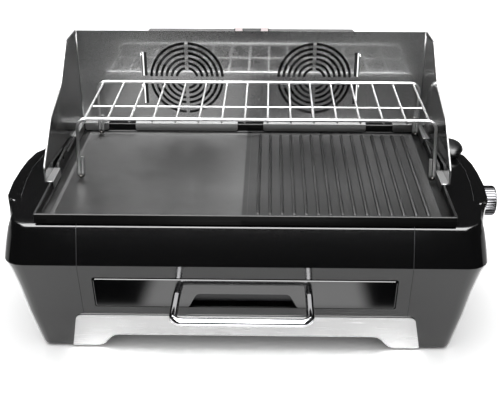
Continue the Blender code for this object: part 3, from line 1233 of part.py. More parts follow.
def main():
    for old in list(bpy.data.objects):
        bpy.data.objects.remove(old)
    gloss_black = material("gloss_black_plastic", (0.009, 0.009, 0.0095), 0.12, 0.0)
    matt_black = material("matt_black_plastic", (0.016, 0.016, 0.016), 0.5, 0.0)
    fan_grey = material("fan_plastic", (0.03, 0.03, 0.032), 0.45, 0.0)
    cast = material("coated_cast_aluminium", (0.055, 0.055, 0.055), 0.42, 0.0)
    stainless = material("polished_stainless", (0.55, 0.55, 0.55), 0.22, 1.0)
    brushed = material("brushed_steel", (0.72, 0.72, 0.72), 0.35, 1.0)
    chrome = material("chrome", (0.75, 0.75, 0.75), 0.08, 1.0)
    zinc = material("zinc_plated_steel", (0.45, 0.45, 0.46), 0.4, 1.0)
    dark_steel = material("dark_steel", (0.05, 0.05, 0.052), 0.5, 0.6)
    element_steel = material("element_sheath", (0.12, 0.11, 0.10), 0.45, 1.0)
    rubber = material("rubber", (0.012, 0.012, 0.012), 0.8, 0.0)
    satin = material("satin_steel", (0.3, 0.3, 0.3), 0.4, 1.0)
    pale_key = material("pale_key_plastic", (0.74, 0.64, 0.64), 0.3, 0.0)

    make_housing(gloss_black)
    make_trim(brushed)
    make_base(matt_black, rubber, zinc)
    make_griddle(cast)
    make_windshield(stainless)
    make_rack(chrome)
    make_heater(zinc, element_steel)
    make_drawer(gloss_black, chrome, dark_steel, zinc)
    make_knob(chrome, matt_black, dark_steel)
    make_inlet(gloss_black, rubber)
    make_fan_box(satin, zinc)
    make_switches(matt_black, pale_key, dark_steel)
    make_fans(matt_black, dark_steel, fan_grey)

    # The middle of the grill's outline stands over the origin
    left_reach = max(level[1] + level[5] for level in housing_levels())
    front_reach = HANDLE_REACH + HANDLE_RADIUS
    place = bpy.data.objects.new("grill", None)
    bpy.context.scene.collection.objects.link(place)
    for piece in list(bpy.data.objects):
        if piece is not place:
            piece.parent = place
    place.location = ((left_reach - KNOB_END) / 2, (front_reach - CREASE_REAR) / 2, 0)


main()
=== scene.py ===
import math

import bmesh
import bpy
from mathutils import Matrix, Vector


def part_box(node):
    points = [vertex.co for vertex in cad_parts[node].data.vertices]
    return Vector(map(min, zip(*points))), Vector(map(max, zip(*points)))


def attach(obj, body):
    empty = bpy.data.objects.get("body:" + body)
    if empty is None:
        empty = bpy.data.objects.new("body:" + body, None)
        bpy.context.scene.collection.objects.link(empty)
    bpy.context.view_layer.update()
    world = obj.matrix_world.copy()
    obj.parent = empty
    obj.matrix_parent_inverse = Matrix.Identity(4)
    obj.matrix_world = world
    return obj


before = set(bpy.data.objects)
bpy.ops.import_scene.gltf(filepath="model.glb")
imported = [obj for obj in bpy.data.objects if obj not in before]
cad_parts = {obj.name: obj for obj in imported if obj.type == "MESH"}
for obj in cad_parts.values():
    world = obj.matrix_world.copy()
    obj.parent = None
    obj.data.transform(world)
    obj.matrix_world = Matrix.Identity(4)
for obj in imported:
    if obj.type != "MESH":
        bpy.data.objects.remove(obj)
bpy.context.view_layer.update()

# Studio: the grill stands on a white table in a white room, seen from in front and above. One wide
# lamp hangs over it, a little to the rear. Lengths are in metres, with Y running to the back.
scene = bpy.context.scene
scene.view_settings.view_transform = "Standard"

camera_tilt = 26.66
camera_turn = 1.02
camera = bpy.data.objects.new("camera", bpy.data.cameras.new("camera"))
scene.collection.objects.link(camera)
camera.data.sensor_width = 36
camera.data.lens = 62.45
camera.data.shift_x = -0.0122
camera.location = (0.0208, -1.0686, 0.6851)
camera.rotation_euler = (math.radians(90 - camera_tilt), 0, math.radians(camera_turn))
scene.camera = camera

lamp_aim = Vector((0.0, 0.0, 0.1))
lamp = bpy.data.lights.new("top_lamp", "AREA")
lamp.shape = "RECTANGLE"
lamp.size = 2.4
lamp.size_y = 1.4
lamp.energy = 14
holder = bpy.data.objects.new("top_lamp", lamp)
holder.location = (0.0, 0.5, 1.8)
holder.rotation_euler = (lamp_aim - holder.location).to_track_quat("-Z", "Y").to_euler()
scene.collection.objects.link(holder)


def node(tree, kind, settings=None, inputs=None):
    """Adds a node with its settings; an input given as a socket is linked, any other value is set."""
    made = tree.nodes.new(kind)
    for key, value in (settings or {}).items():
        setattr(made, key, value)
    for key, value in (inputs or {}).items():
        if isinstance(value, bpy.types.NodeSocket):
            tree.links.new(value, made.inputs[key])
        else:
            made.inputs[key].default_value = value
    return made


world = bpy.data.worlds.new("studio_room")
scene.world = world
world.use_nodes = True
tree = world.node_tree
tree.nodes.clear()
sight = node(tree, "ShaderNodeTexCoord").outputs["Generated"]
sight = node(tree, "ShaderNodeSeparateXYZ", None, {0: sight})
# The gloss mirrors a dark room with two bright panels: a long soft box from over the grill to over
# the photographer, and a smaller one high behind the grill. Each fades in over a range of the
# direction's Y and of its Z, and fades out to both sides of its middle X.
panels = []
for fade_y, fade_z, middle_x, fade_x, glow, spill in (
        ((0.36, 0.24), (0.4, 0.5), -0.06, (0.5, 0.62), 13.0, 0.0),
        ((0.4, 0.5), (0.56, 0.63), -0.13, (0.1, 0.26), 10.0, 0.6)):
    along = node(tree, "ShaderNodeMapRange", {"interpolation_type": "SMOOTHSTEP"},
                 {"Value": sight.outputs["Y"], "From Min": fade_y[0], "From Max": fade_y[1]})
    above = node(tree, "ShaderNodeMapRange", {"interpolation_type": "SMOOTHSTEP"},
                 {"Value": sight.outputs["Z"], "From Min": fade_z[0], "From Max": fade_z[1]})
    off_middle = node(tree, "ShaderNodeMath", {"operation": "SUBTRACT"}, {0: sight.outputs["X"], 1: middle_x})
    aside = node(tree, "ShaderNodeMath", {"operation": "ABSOLUTE"}, {0: off_middle.outputs[0]})
    across = node(tree, "ShaderNodeMapRange", {"interpolation_type": "SMOOTHSTEP"},
                  {"Value": aside.outputs[0], "From Min": fade_x[0], "From Max": fade_x[1],
                   "To Min": glow, "To Max": spill})
    panel = node(tree, "ShaderNodeMath", {"operation": "MULTIPLY"},
                 {0: along.outputs[0], 1: above.outputs[0]})
    panel = node(tree, "ShaderNodeMath", {"operation": "MULTIPLY"},
                 {0: panel.outputs[0], 1: across.outputs[0]})
    panels.append(panel.outputs[0])

# Matt surfaces get an even fill from the white room, and the camera sees its walls plain white.
# A Mix node repeats its input names, so they go by number: 2 and 3 mix values, 6 and 7 colours.
darkest_mirrored = 0.035
room_fill = 0.55
wall_white = 1.0
bright = node(tree, "ShaderNodeMath", {"operation": "MAXIMUM"}, {0: panels[0], 1: panels[1]})
mirrored = node(tree, "ShaderNodeMath", {"operation": "MAXIMUM"},
                {0: bright.outputs[0], 1: darkest_mirrored})
rays = node(tree, "ShaderNodeLightPath")
seen = node(tree, "ShaderNodeMath", {"operation": "MAXIMUM"},
            {0: rays.outputs["Is Camera Ray"], 1: rays.outputs["Is Transmission Ray"]})
lit = node(tree, "ShaderNodeMix", {"data_type": "FLOAT"},
           {0: rays.outputs["Is Glossy Ray"], 2: room_fill, 3: mirrored.outputs[0]})
shown = node(tree, "ShaderNodeMix", {"data_type": "FLOAT"},
             {0: seen.outputs[0], 2: lit.outputs[0], 3: wall_white})
sky = node(tree, "ShaderNodeBackground", None, {"Color": (1, 1, 1, 1), "Strength": shown.outputs[0]})
node(tree, "ShaderNodeOutputWorld", None, {"Surface": sky.outputs[0]})


def linear(code, alpha=1.0):
    """sRGB hex colour as linear values."""
    channels = [int(code[i:i + 2], 16) / 255 for i in (1, 3, 5)]
    return tuple(c / 12.92 if c <= 0.04045 else ((c + 0.055) / 1.055) ** 2.4 for c in channels) + (alpha,)


def new_material(name, colour, roughness, metallic=0.0, **more):
    """Principled material from its plain values; returns it with its tree and shader."""
    material = bpy.data.materials.new(name)
    material.use_nodes = True
    shader = material.node_tree.nodes["Principled BSDF"]
    shader.inputs["Base Color"].default_value = linear(colour)
    shader.inputs["Roughness"].default_value = roughness
    shader.inputs["Metallic"].default_value = metallic
    for key, value in more.items():
        shader.inputs[key.replace("_", " ")].default_value = value
    return material, material.node_tree, shader


# Table top: white laminate on board. It is matt, without a highlight of its own, and keeps the soft
# shadow below the grill. The camera sees it white, and the gloss sees painted light and shade on it.
table_top, tree, shader = new_material("white_laminate_table", "#F4F4F4", 0.7, Specular_IOR_Level=0.0)
place = node(tree, "ShaderNodeTexCoord").outputs["Object"]
at = node(tree, "ShaderNodeSeparateXYZ", None, {0: place})
aside = node(tree, "ShaderNodeMath", {"operation": "ABSOLUTE"}, {0: at.outputs["X"]})
# Painted shade for glossy rays: the table is dark towards the photographer, and white from under the
# grill to the back
to_back = node(tree, "ShaderNodeMapRange", {"interpolation_type": "SMOOTHSTEP"},
               {"Value": at.outputs["Y"], "From Min": -0.35, "From Max": -0.05})
mirrored = node(tree, "ShaderNodeMix", {"data_type": "RGBA"},
                {0: to_back.outputs[0], 6: linear("#1A1A1A"), 7: linear("#F0F0F0")})
# Two rectangular pools of painted lamplight lie on it, seen only by the gloss: a narrow bright one that
# reaches further forward, and a wide one. Each is symmetrical about X = 0 and fades over its edge.
for half_width, side_fade, front_edge, front_fade, glow in (
        (0.15, 0.03, -0.5, 0.05, 4.0),
        (0.55, 0.08, -0.335, 0.03, 2.1)):
    within = node(tree, "ShaderNodeMapRange", {"interpolation_type": "SMOOTHSTEP"},
                  {"Value": aside.outputs[0], "From Min": half_width, "From Max": half_width + side_fade,
                   "To Min": 1.0, "To Max": 0.0})
    behind = node(tree, "ShaderNodeMapRange", {"interpolation_type": "SMOOTHSTEP"},
                  {"Value": at.outputs["Y"], "From Min": front_edge, "From Max": front_edge + front_fade})
    share = node(tree, "ShaderNodeMath", {"operation": "MULTIPLY"},
                 {0: within.outputs[0], 1: behind.outputs[0]})
    mirrored = node(tree, "ShaderNodeMix", {"data_type": "RGBA"},
                    {0: share.outputs[0], 6: mirrored.outputs[2], 7: (glow, glow, glow, 1)})
camera_white = (1.9, 1.9, 1.9, 1)
rays = node(tree, "ShaderNodeLightPath")
matt = node(tree, "ShaderNodeMix", {"data_type": "RGBA"},
            {0: rays.outputs["Is Glossy Ray"], 6: linear("#DCDCDC"), 7: mirrored.outputs[2]})
tint = node(tree, "ShaderNodeMix", {"data_type": "RGBA"},
            {0: rays.outputs["Is Camera Ray"], 6: matt.outputs[2], 7: camera_white})
tree.links.new(tint.outputs[2], shader.inputs["Base Color"])
reach = 9
corners = [(-reach, -reach, 0), (reach, -reach, 0), (reach, reach, 0), (-reach, reach, 0)]
mesh = bpy.data.meshes.new("table_top")
mesh.from_pydata(corners, [], [(0, 1, 2, 3)])
mesh.materials.append(table_top)
floor = bpy.data.objects.new("table_top", mesh)
scene.collection.objects.link(floor)


def grain(tree, shader, size, detail=2.0, roughness=None, span=(0.0, 1.0), bump=None):
    """Patches of a real size vary the roughness (least, most), raise bumps (strength, height), or both.

    Three sizes in place of one stretch the patches along X, Y and Z. Span is the part of the noise
    that the roughness follows.
    """
    place = node(tree, "ShaderNodeTexCoord").outputs["Object"]
    if isinstance(size, tuple):
        stretch = node(tree, "ShaderNodeMapping", None, {"Vector": place, "Scale": [1 / s for s in size]})
        place = stretch.outputs[0]
        size = 1
    patches = node(tree, "ShaderNodeTexNoise", None, {"Vector": place, "Scale": 1 / size, "Detail": detail})
    if roughness:
        rough = node(tree, "ShaderNodeMapRange", None,
                     {"Value": patches.outputs[0], "From Min": span[0], "From Max": span[1],
                      "To Min": roughness[0], "To Max": roughness[1]})
        tree.links.new(rough.outputs[0], shader.inputs["Roughness"])
    if bump:
        raised = node(tree, "ShaderNodeBump", None,
                      {"Strength": bump[0], "Distance": bump[1], "Height": patches.outputs[0]})
        tree.links.new(raised.outputs[0], shader.inputs["Normal"])


# Housing: two end caps, a front and a rear panel, injection moulded in black heat-proof PBT and
# joined round the base pan. The mould's polish gives a mirror with the faint waves of a thin wall
# that has cooled, 35 mm apart, under a light haze of dust that is drawn coarser, at 1.6 mm.
gloss_black, tree, shader = new_material("moulded_gloss_black_pbt", "#0C0C0D", 0.1,
                                         Coat_Weight=0.3, Coat_Roughness=0.05)
grain(tree, shader, 0.035, 1.0, bump=(0.12, 0.0006))
grain(tree, shader, 0.0016, 3.0, roughness=(0.08, 0.2), span=(0.3, 0.8))

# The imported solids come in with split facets: the seams are merged and curved faces turned smooth
weld = 1e-6
rounding = bpy.data.node_groups.new("smooth_moulding", "GeometryNodeTree")
rounding.interface.new_socket("Geometry", in_out="INPUT", socket_type="NodeSocketGeometry")
rounding.interface.new_socket("Sharp above", in_out="INPUT", socket_type="NodeSocketFloat")
rounding.interface.new_socket("Geometry", in_out="OUTPUT", socket_type="NodeSocketGeometry")
given = node(rounding, "NodeGroupInput")
merged = node(rounding, "GeometryNodeMergeByDistance", None, {"Geometry": given.outputs[0], "Distance": weld})
turn = node(rounding, "GeometryNodeInputMeshEdgeAngle")
gentle = node(rounding, "FunctionNodeCompare", {"operation": "LESS_THAN"},
              {0: turn.outputs["Unsigned Angle"], 1: given.outputs["Sharp above"]})
curved = node(rounding, "GeometryNodeSetShadeSmooth", {"domain": "EDGE"},
              {0: merged.outputs[0], 2: gentle.outputs[0]})
faces = node(rounding, "GeometryNodeSetShadeSmooth", {"domain": "FACE"}, {0: curved.outputs[0], 2: True})
node(rounding, "NodeGroupOutput", None, {0: faces.outputs[0]})


def dress(names, material, sharp=32, edge=0.0):
    """Gives CAD nodes their finish, smooth curves and, where the real edge is broken, a small radius."""
    for name in names:
        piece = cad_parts[name]
        for slot in piece.material_slots:
            slot.material = material
        smooth = piece.modifiers.new("smooth", "NODES")
        smooth.node_group = rounding
        smooth[rounding.interface.items_tree["Sharp above"].identifier] = math.radians(sharp)
        if edge:
            bevel = piece.modifiers.new("edge", "BEVEL")
            bevel.width = edge
            bevel.segments = 3
            bevel.angle_limit = math.radians(sharp)
            bevel.harden_normals = True


broken_edge = 0.0003
dress(["front_panel", "rear_panel", "left_end_cap", "right_end_cap"], gloss_black, 24, broken_edge)

# Lines of the housing: the moulded edges stand a hair proud where the front panel meets the end
# caps, and a fainter one runs round each shoulder. Their grey is a painted highlight, so they show as
# thin light lines. The short raised lip over each finger hold is gloss black.
seam_highlight_grey, tree, shader = new_material("painted_highlight_black_edge", "#5E5E60", 0.45)
grain(tree, shader, 0.003, roughness=(0.38, 0.55))
plate_low, plate_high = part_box("griddle_plate")
middle = (plate_low.x + plate_high.x) / 2
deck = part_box("front_panel")[1].z
seam_out = (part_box("front_panel")[1].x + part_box("right_end_cap")[0].x) / 2 - middle
seam_radius = 0.00028
shoulder_radius = 0.00014
lip_radius = 0.0016


def on_grill(side, x, y, z):
    """Point measured from the middle of the plate's front edge; side is -1 on the left, 1 on the right."""
    return side * x + middle, y + plate_low.y, z


def tube(name, path, radius, material, sides=10):
    """Round bead along a path in space."""
    # Each ring is squared to this direction, which none of the paths follows
    upright = Vector((0.0, 0.31, 0.95))
    path = [Vector(point) for point in path]
    rings = []
    for i, point in enumerate(path):
        along = (path[min(i + 1, len(path) - 1)] - path[max(i - 1, 0)]).normalized()
        across = along.cross(upright).normalized()
        up = across.cross(along)
        rings.append([point + (across * math.cos(a) + up * math.sin(a)) * radius
                      for a in (math.tau * k / sides for k in range(sides))])
    mesh = bpy.data.meshes.new(name)
    faces = []
    for i in range(0, (len(rings) - 1) * sides, sides):
        for k in range(sides):
            faces.append((i + k, i + (k + 1) % sides, i + sides + (k + 1) % sides, i + sides + k))
    last = (len(rings) - 1) * sides
    faces += [tuple(reversed(range(sides))), tuple(range(last, last + sides))]
    mesh.from_pydata([tuple(v) for ring in rings for v in ring], [], faces)
    mesh.shade_smooth()
    mesh.materials.append(material)
    piece = bpy.data.objects.new(name, mesh)
    scene.collection.objects.link(piece)
    return piece


# The seam climbs the front wall and turns over the deck's round: each point is a place behind the
# plate's front edge and a drop below the deck
seam_profile = ((-0.0170, 0.0467), (0.0005, 0.0025), (0.0016, 0.0010), (0.0029, 0.0002),
                (0.0042, 0.0), (0.0075, 0.0))
shoulder_route = ((0.2912, 0.2400), (0.2963, 0.2001), (0.2993, 0.1706), (0.2980, 0.1305), (0.2943, 0.0927),
                  (0.2917, 0.0753))
lip_route = ((0.2965, 0.0670, 0.0014), (0.3005, 0.0690, 0.0009), (0.3055, 0.0730, 0.0014))
for side, label in ((-1, "left"), (1, "right")):
    seam = [on_grill(side, seam_out, y, deck - drop) for y, drop in seam_profile]
    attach(tube(f"seam_{label}", seam, seam_radius, seam_highlight_grey, 6), "grill")
for side, label in ((-1, "left"), (1, "right")):
    line = [on_grill(side, x, y, deck) for x, y in shoulder_route]
    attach(tube(f"shoulder_line_{label}", line, shoulder_radius, seam_highlight_grey, 6), "grill")
    lip = [on_grill(side, x, y, deck - drop) for x, y, drop in lip_route]
    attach(tube(f"finger_lip_{label}", lip, lip_radius, gloss_black, 12), "grill")

# Trim: a thin stainless plate, blanked with an arched cut-out and bonded to the lower front. It is
# brushed along its length, which breaks the reflections up into fine lines. Real brush lines are
# about 0.1 mm wide, and these are drawn at 0.5 mm so that they still show.
brushed, tree, shader = new_material("brushed_stainless_trim", "#BEBEBE", 0.3, 1.0)
grain(tree, shader, (0.06, 0.0005, 0.0005), 3.0, roughness=(0.27, 0.36), span=(0.3, 0.7), bump=(0.06, 0.0001))
dress(["steel_trim"], brushed, 30)

# Feet and gland: moulded rubber, the feet pressed on the base pan's pedestals and the gland in the
# inlet hood. It is soft and matt, without a highlight. Its fine grain is drawn coarser, at 0.7 mm.
rubber, tree, shader = new_material("matt_rubber", "#1E1E1E", 0.85)
grain(tree, shader, 0.0007, bump=(0.3, 0.0002))
dress(["foot_front_left", "foot_front_right", "foot_rear_left", "foot_rear_right", "cord_gland"], rubber)

# Base pan and the small fittings: moulded plastic from a spark-eroded mould, screwed or clipped in
# place. The fine texture scatters the light to an even dark grey. It is drawn at 0.5 mm, coarser
# than the real 0.1 mm.
matt_black, tree, shader = new_material("textured_matt_black_plastic", "#1B1B1B", 0.55)
grain(tree, shader, 0.0005, bump=(0.25, 0.0002))
dress(["base_pan", "knob_bezel", "switch_strip", "fan_frame_left", "fan_frame_right"], matt_black)

# Inner sheet metal and screws: pressed or turned steel, zinc plated. The plating's crystals, about
# 4 mm across, make patches of brighter and duller grey.
zinc, tree, shader = new_material("zinc_plated_steel", "#A9AAAD", 0.4, 1.0)
spangle = 0.004
place = node(tree, "ShaderNodeTexCoord").outputs["Object"]
flakes = node(tree, "ShaderNodeTexVoronoi", None, {"Vector": place, "Scale": 1 / spangle})
rough = node(tree, "ShaderNodeMapRange", None,
             {"Value": flakes.outputs["Distance"], "To Min": 0.34, "To Max": 0.5})
tree.links.new(rough.outputs[0], shader.inputs["Roughness"])
dress(["heat_reflector", "element_bracket_left", "element_bracket_right", "drawer_runner_left",
       "drawer_runner_right", "side_plate_left", "side_plate_right"]
      + [f"base_screw_{k}" for k in range(1, 5)] + [f"cover_screw_{k}" for k in range(1, 5)], zinc)

# Heating element: a steel sheath bent into loops, laid in its two brackets over the reflector. Heat
# has turned it brown-grey, with duller stains about 20 mm long.
sheath, tree, shader = new_material("heat_darkened_element_sheath", "#4A4540", 0.45, 1.0)
grain(tree, shader, 0.02, 3.0, roughness=(0.35, 0.6))
dress(["heating_element"], sheath, 60)

# Griddle plate: die-cast aluminium, shot-blasted and sprayed with a dark non-stick coat, and laid
# on the ledge of the deck's opening. The blasting leaves fine pits and flecks under the coat, drawn
# coarser at 0.6 mm, and the spray leaves faint glossier patches about 30 mm across.
coat, tree, shader = new_material("nonstick_coated_cast_aluminium", "#121212", 0.36, IOR=1.55)
pit = 0.0006
place = node(tree, "ShaderNodeTexCoord").outputs["Object"]
grit = node(tree, "ShaderNodeTexNoise", None, {"Vector": place, "Scale": 1 / pit, "Detail": 4.0})
fleck = node(tree, "ShaderNodeValToRGB", None, {0: grit.outputs[0]})
fleck.color_ramp.elements[0].position = 0.35
fleck.color_ramp.elements[0].color = linear("#0E0E0E")
fleck.color_ramp.elements[1].position = 0.75
fleck.color_ramp.elements[1].color = linear("#1C1C1C")
tree.links.new(fleck.outputs[0], shader.inputs["Base Color"])
bump = node(tree, "ShaderNodeBump", None, {"Strength": 0.3, "Distance": 0.00015, "Height": grit.outputs[0]})
tree.links.new(bump.outputs[0], shader.inputs["Normal"])
grain(tree, shader, 0.03, 3.0, roughness=(0.31, 0.38), span=(0.3, 0.7))

# The coat's shine is painted: lower over the ribbed half, as painted shade between the ribs, and
# higher near their crests, as a painted highlight. The ribs start a little right of the middle, past a
# groove whose shine is painted lower still.
field_depth = 0.0175
rib_height = 0.0035
valley = plate_high.z - field_depth
crest = valley + rib_height
ribs_start = middle + 0.0024
groove_x = middle - 0.0011
at = node(tree, "ShaderNodeSeparateXYZ", None, {0: place})
ribbed_painted_shade = node(tree, "ShaderNodeMapRange", None,
              {"Value": at.outputs["X"], "From Min": ribs_start - 0.0005, "From Max": ribs_start + 0.0005,
               "To Min": 0.5, "To Max": 0.16})
crest_highlight = node(tree, "ShaderNodeMapRange", None,
              {"Value": at.outputs["Z"], "From Min": valley + 0.001, "From Max": valley + 0.0023,
               "To Min": 0.0, "To Max": 0.3})
shine = node(tree, "ShaderNodeMath", {"operation": "ADD"}, {0: ribbed_painted_shade.outputs[0], 1: crest_highlight.outputs[0]})

# The groove and the gutter round the cooking field get painted shade: their shine is cut down. Each
# row gives an axis, a middle on it, the distances from there between which the shine changes, and the
# share of the shine that is left nearer and further out.
plate_centre = (plate_low + plate_high) / 2
for axis, centre, start, end, inner, outer in (
        ("X", groove_x, 0.0025, 0.0045, 0.3, 1.0),
        ("X", plate_centre.x, 0.2395, 0.2415, 1.0, 0.4),
        ("Y", plate_centre.y, 0.1335, 0.1355, 1.0, 0.4)):
    away = node(tree, "ShaderNodeMath", {"operation": "SUBTRACT"}, {0: at.outputs[axis], 1: centre})
    away = node(tree, "ShaderNodeMath", {"operation": "ABSOLUTE"}, {0: away.outputs[0]})
    painted_shade_share = node(tree, "ShaderNodeMapRange", None,
                {"Value": away.outputs[0], "From Min": start, "From Max": end,
                 "To Min": inner, "To Max": outer})
    shine = node(tree, "ShaderNodeMath", {"operation": "MULTIPLY"}, {0: shine.outputs[0], 1: painted_shade_share.outputs[0]})

# All this holds up to the crests. The rim above them and every upright wall get painted shade: their
# shine is cut down.
rim_shaded_shine = 0.3
inside = node(tree, "ShaderNodeMapRange", None,
              {"Value": at.outputs["Z"], "From Min": crest + 0.0004, "From Max": crest + 0.0008,
               "To Min": 1.0, "To Max": 0.0})
shine = node(tree, "ShaderNodeMix", {"data_type": "FLOAT"},
             {0: inside.outputs[0], 2: rim_shaded_shine, 3: shine.outputs[0]})
facing = node(tree, "ShaderNodeSeparateXYZ", None, {0: node(tree, "ShaderNodeNewGeometry").outputs["Normal"]})
upright_painted_shade = node(tree, "ShaderNodeMapRange", None,
            {"Value": facing.outputs["Z"], "From Min": 0.3, "From Max": 0.8, "To Min": 0.3, "To Max": 1.0})
shine = node(tree, "ShaderNodeMath", {"operation": "MULTIPLY"}, {0: shine.outputs[0], 1: upright_painted_shade.outputs[0]})
tree.links.new(shine.outputs[0], shader.inputs["Specular IOR Level"])
dress(["griddle_plate"], coat, 30)

# Windshield: one sheet of polished stainless steel, cut out for the fan grilles and folded to a wall,
# two wings and hooked lips, which hang on the griddle's rim. A haze of fine scratches, drawn coarser
# at 0.3 mm, breaks its mirror up.
polished, tree, shader = new_material("polished_stainless_sheet", "#A8A8A8", 0.1, 1.0)
scratch = 0.0003
place = node(tree, "ShaderNodeTexCoord").outputs["Object"]
haze = node(tree, "ShaderNodeTexNoise", None, {"Vector": place, "Scale": 1 / scratch, "Detail": 0.0})
# Wiping keeps the middle of the wall brightest, and the haze grows towards the wings
at = node(tree, "ShaderNodeSeparateXYZ", None, {0: place})
aside = node(tree, "ShaderNodeMath", {"operation": "ABSOLUTE"}, {0: at.outputs["X"]})
wiped = node(tree, "ShaderNodeMapRange", None,
             {"Value": aside.outputs[0], "From Min": 0.02, "From Max": 0.2, "To Min": -0.02, "To Max": 0.12})
hazy = node(tree, "ShaderNodeMath", {"operation": "ADD"}, {0: haze.outputs[0], 1: wiped.outputs[0]})
rough = node(tree, "ShaderNodeMapRange", None,
             {"Value": hazy.outputs[0], "From Min": 0.42, "From Max": 0.58, "To Min": 0.07, "To Max": 0.44})
tree.links.new(rough.outputs[0], shader.inputs["Roughness"])
dress(["windshield"], polished, 40)

# The shelves and lips under the sheet keep the mill's satin finish, with rolling lines drawn coarser
# at 0.8 mm. The right shelf, beside the knob, is painted darker, as painted shade.
satin_fold, tree, shader = new_material("satin_folded_steel", "#B6B6B6", 0.34, 1.0)
grain(tree, shader, (0.0008, 0.03, 0.03), roughness=(0.28, 0.42), span=(0.3, 0.7))
at = node(tree, "ShaderNodeSeparateXYZ", None, {0: node(tree, "ShaderNodeTexCoord").outputs["Object"]})
right_shelf_painted_shade = node(tree, "ShaderNodeMapRange", None,
               {"Value": at.outputs["X"], "From Min": 0.19, "From Max": 0.21})
tint = node(tree, "ShaderNodeMix", {"data_type": "RGBA"},
            {0: right_shelf_painted_shade.outputs[0], 6: linear("#B6B6B6"), 7: linear("#868686")})
tree.links.new(tint.outputs[2], shader.inputs["Base Color"])

# The wings keep more of the mirror polish, with wipe marks 20 mm wide. Their steel is painted darker
# than the wall's, as painted shade.
wing_mirror_shaded, tree, shader = new_material("mirror_stainless_wing_shaded", "#8C8C8C", 0.1, 1.0)
grain(tree, shader, 0.02, 3.0, roughness=(0.08, 0.2), span=(0.3, 0.7))

# The sheet's faces along the wings' free edges are painted dark and dull, as painted shade, so that
# only the hem catches the light
fold_painted_shade, tree, shader = new_material("painted_shade_steel_fold", "#4A4A4A", 0.4, 1.0)
grain(tree, shader, 0.002, roughness=(0.34, 0.5))

windshield_low, windshield_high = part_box("windshield")
wall_top = windshield_high.z
wing_front = windshield_low.y
wall_y = plate_low.y + 0.305
wall_half = 0.2535
shelf_top = 0.2015
latch_half = 0.2
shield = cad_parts["windshield"]
satin_slot, wing_slot, fold_shade_slot = range(len(shield.data.materials), len(shield.data.materials) + 3)
for finish in (satin_fold, wing_mirror_shaded, fold_painted_shade):
    shield.data.materials.append(finish)
# Painted shade: the wings take the darker steel, and their edge faces the dark fold colour
for face in shield.data.polygons:
    out = abs(face.center.x - middle)
    latch = out < latch_half and face.center.y < wall_y - 0.0006
    if face.center.z < shelf_top or latch:
        face.material_index = satin_slot
    elif out > wall_half - 0.0007:
        face.material_index = wing_slot if abs(face.normal.x) > 0.5 else fold_shade_slot

# Hems and bends: the wings' free edges are folded back into a round hem, and the sheet turns into
# each wing over a small bend. Both are rubbed bright and catch the lamps as thin lines.
hem_steel, tree, shader = new_material("bright_hem_steel", "#A6A6A6", 0.35, 1.0)
grain(tree, shader, 0.004, roughness=(0.3, 0.42))
hem_radius = 0.0008
half_sheet = 0.0005
wing_splay = 0.0075
bend_x = wall_half - 0.0004
lip_x = 0.2515
shelf_z = shelf_top - 0.0007


def fillet(corners, steps=5):
    """Rounds the corners (a, b, radius) of an open path in its plane."""
    path = []
    for i, (a, b, radius) in enumerate(corners):
        here = Vector((a, b))
        if radius <= 0:
            path.append(here)
            continue
        back = (Vector(corners[i - 1][:2]) - here).normalized()
        ahead = (Vector(corners[i + 1][:2]) - here).normalized()
        half = back.angle(ahead) / 2
        centre = here + (back + ahead).normalized() * radius / math.sin(half)
        first = here + back * radius / math.tan(half) - centre
        turn = first.angle_signed(here + ahead * radius / math.tan(half) - centre)
        path += [centre + Matrix.Rotation(-turn * k / steps, 2) @ first for k in range(steps + 1)]
    return path


def wing_x(y):
    """Middle of a wing's sheet at a depth: the wings splay a little towards the front."""
    return wall_half + wing_splay * (wall_y - y) / (wall_y - wing_front) + half_sheet


# A wing's free edge runs down from the wall's top in two steps: depth, height and corner radius
wing_edge = fillet([(wall_y, wall_top, 0), (plate_low.y + 0.252, wall_top, 0.012),
                    (plate_low.y + 0.205, 0.2925, 0.042), (plate_low.y + 0.141, 0.2685, 0.012),
                    (wing_front, 0.220, 0.012), (wing_front, shelf_top, 0)])
for side, label in ((-1, "left"), (1, "right")):
    hem = [(side * wing_x(y) + middle, y, z) for y, z in wing_edge]
    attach(tube(f"hem_{label}", hem, hem_radius, hem_steel), "windshield")
    bend = [(side * bend_x + middle, wall_y - 0.0001, z) for z in (shelf_top - 0.0002, 0.25, 0.30, wall_top)]
    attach(tube(f"bend_{label}", bend, hem_radius, hem_steel), "windshield")
    # The front edges of the two bent shelves and of the lips that hang inside the griddle's rim
    for end, y in (("front", wing_front), ("rear", plate_low.y + 0.244)):
        fold = [(side * x + middle, y + back, shelf_z - drop) for x, back, drop in (
            (wing_x(y), 0.0, 0.0), (lip_x + 0.0003, 0.0, 0.0), (lip_x, 0.0, 0.0018), (lip_x, 0.0015, 0.0093))]
        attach(tube(f"fold_{end}_{label}", fold, hem_radius, hem_steel), "windshield")

# Warming rack: steel wire, bent and welded, then nickel plated to a satin shine with smears about
# 6 mm long. It stands on the griddle, and the ends of its feet are painted dark, as painted shade.
nickel, tree, shader = new_material("satin_nickel_plate", "#D6D6D6", 0.34, 1.0)
grain(tree, shader, 0.006, 3.0, roughness=(0.3, 0.4), span=(0.3, 0.7))
at = node(tree, "ShaderNodeSeparateXYZ", None, {0: node(tree, "ShaderNodeTexCoord").outputs["Object"]})
# Painted shade: the wire turns dark towards the bottoms of its feet
above_foot_shade = node(tree, "ShaderNodeMapRange", None,
             {"Value": at.outputs["Z"], "From Min": valley + 0.005, "From Max": valley + 0.009})
tint = node(tree, "ShaderNodeMix", {"data_type": "RGBA"},
            {0: above_foot_shade.outputs[0], 6: linear("#4C4A48"), 7: linear("#D6D6D6")})
tree.links.new(tint.outputs[2], shader.inputs["Base Color"])
dress(["warming_rack"], nickel, 50)

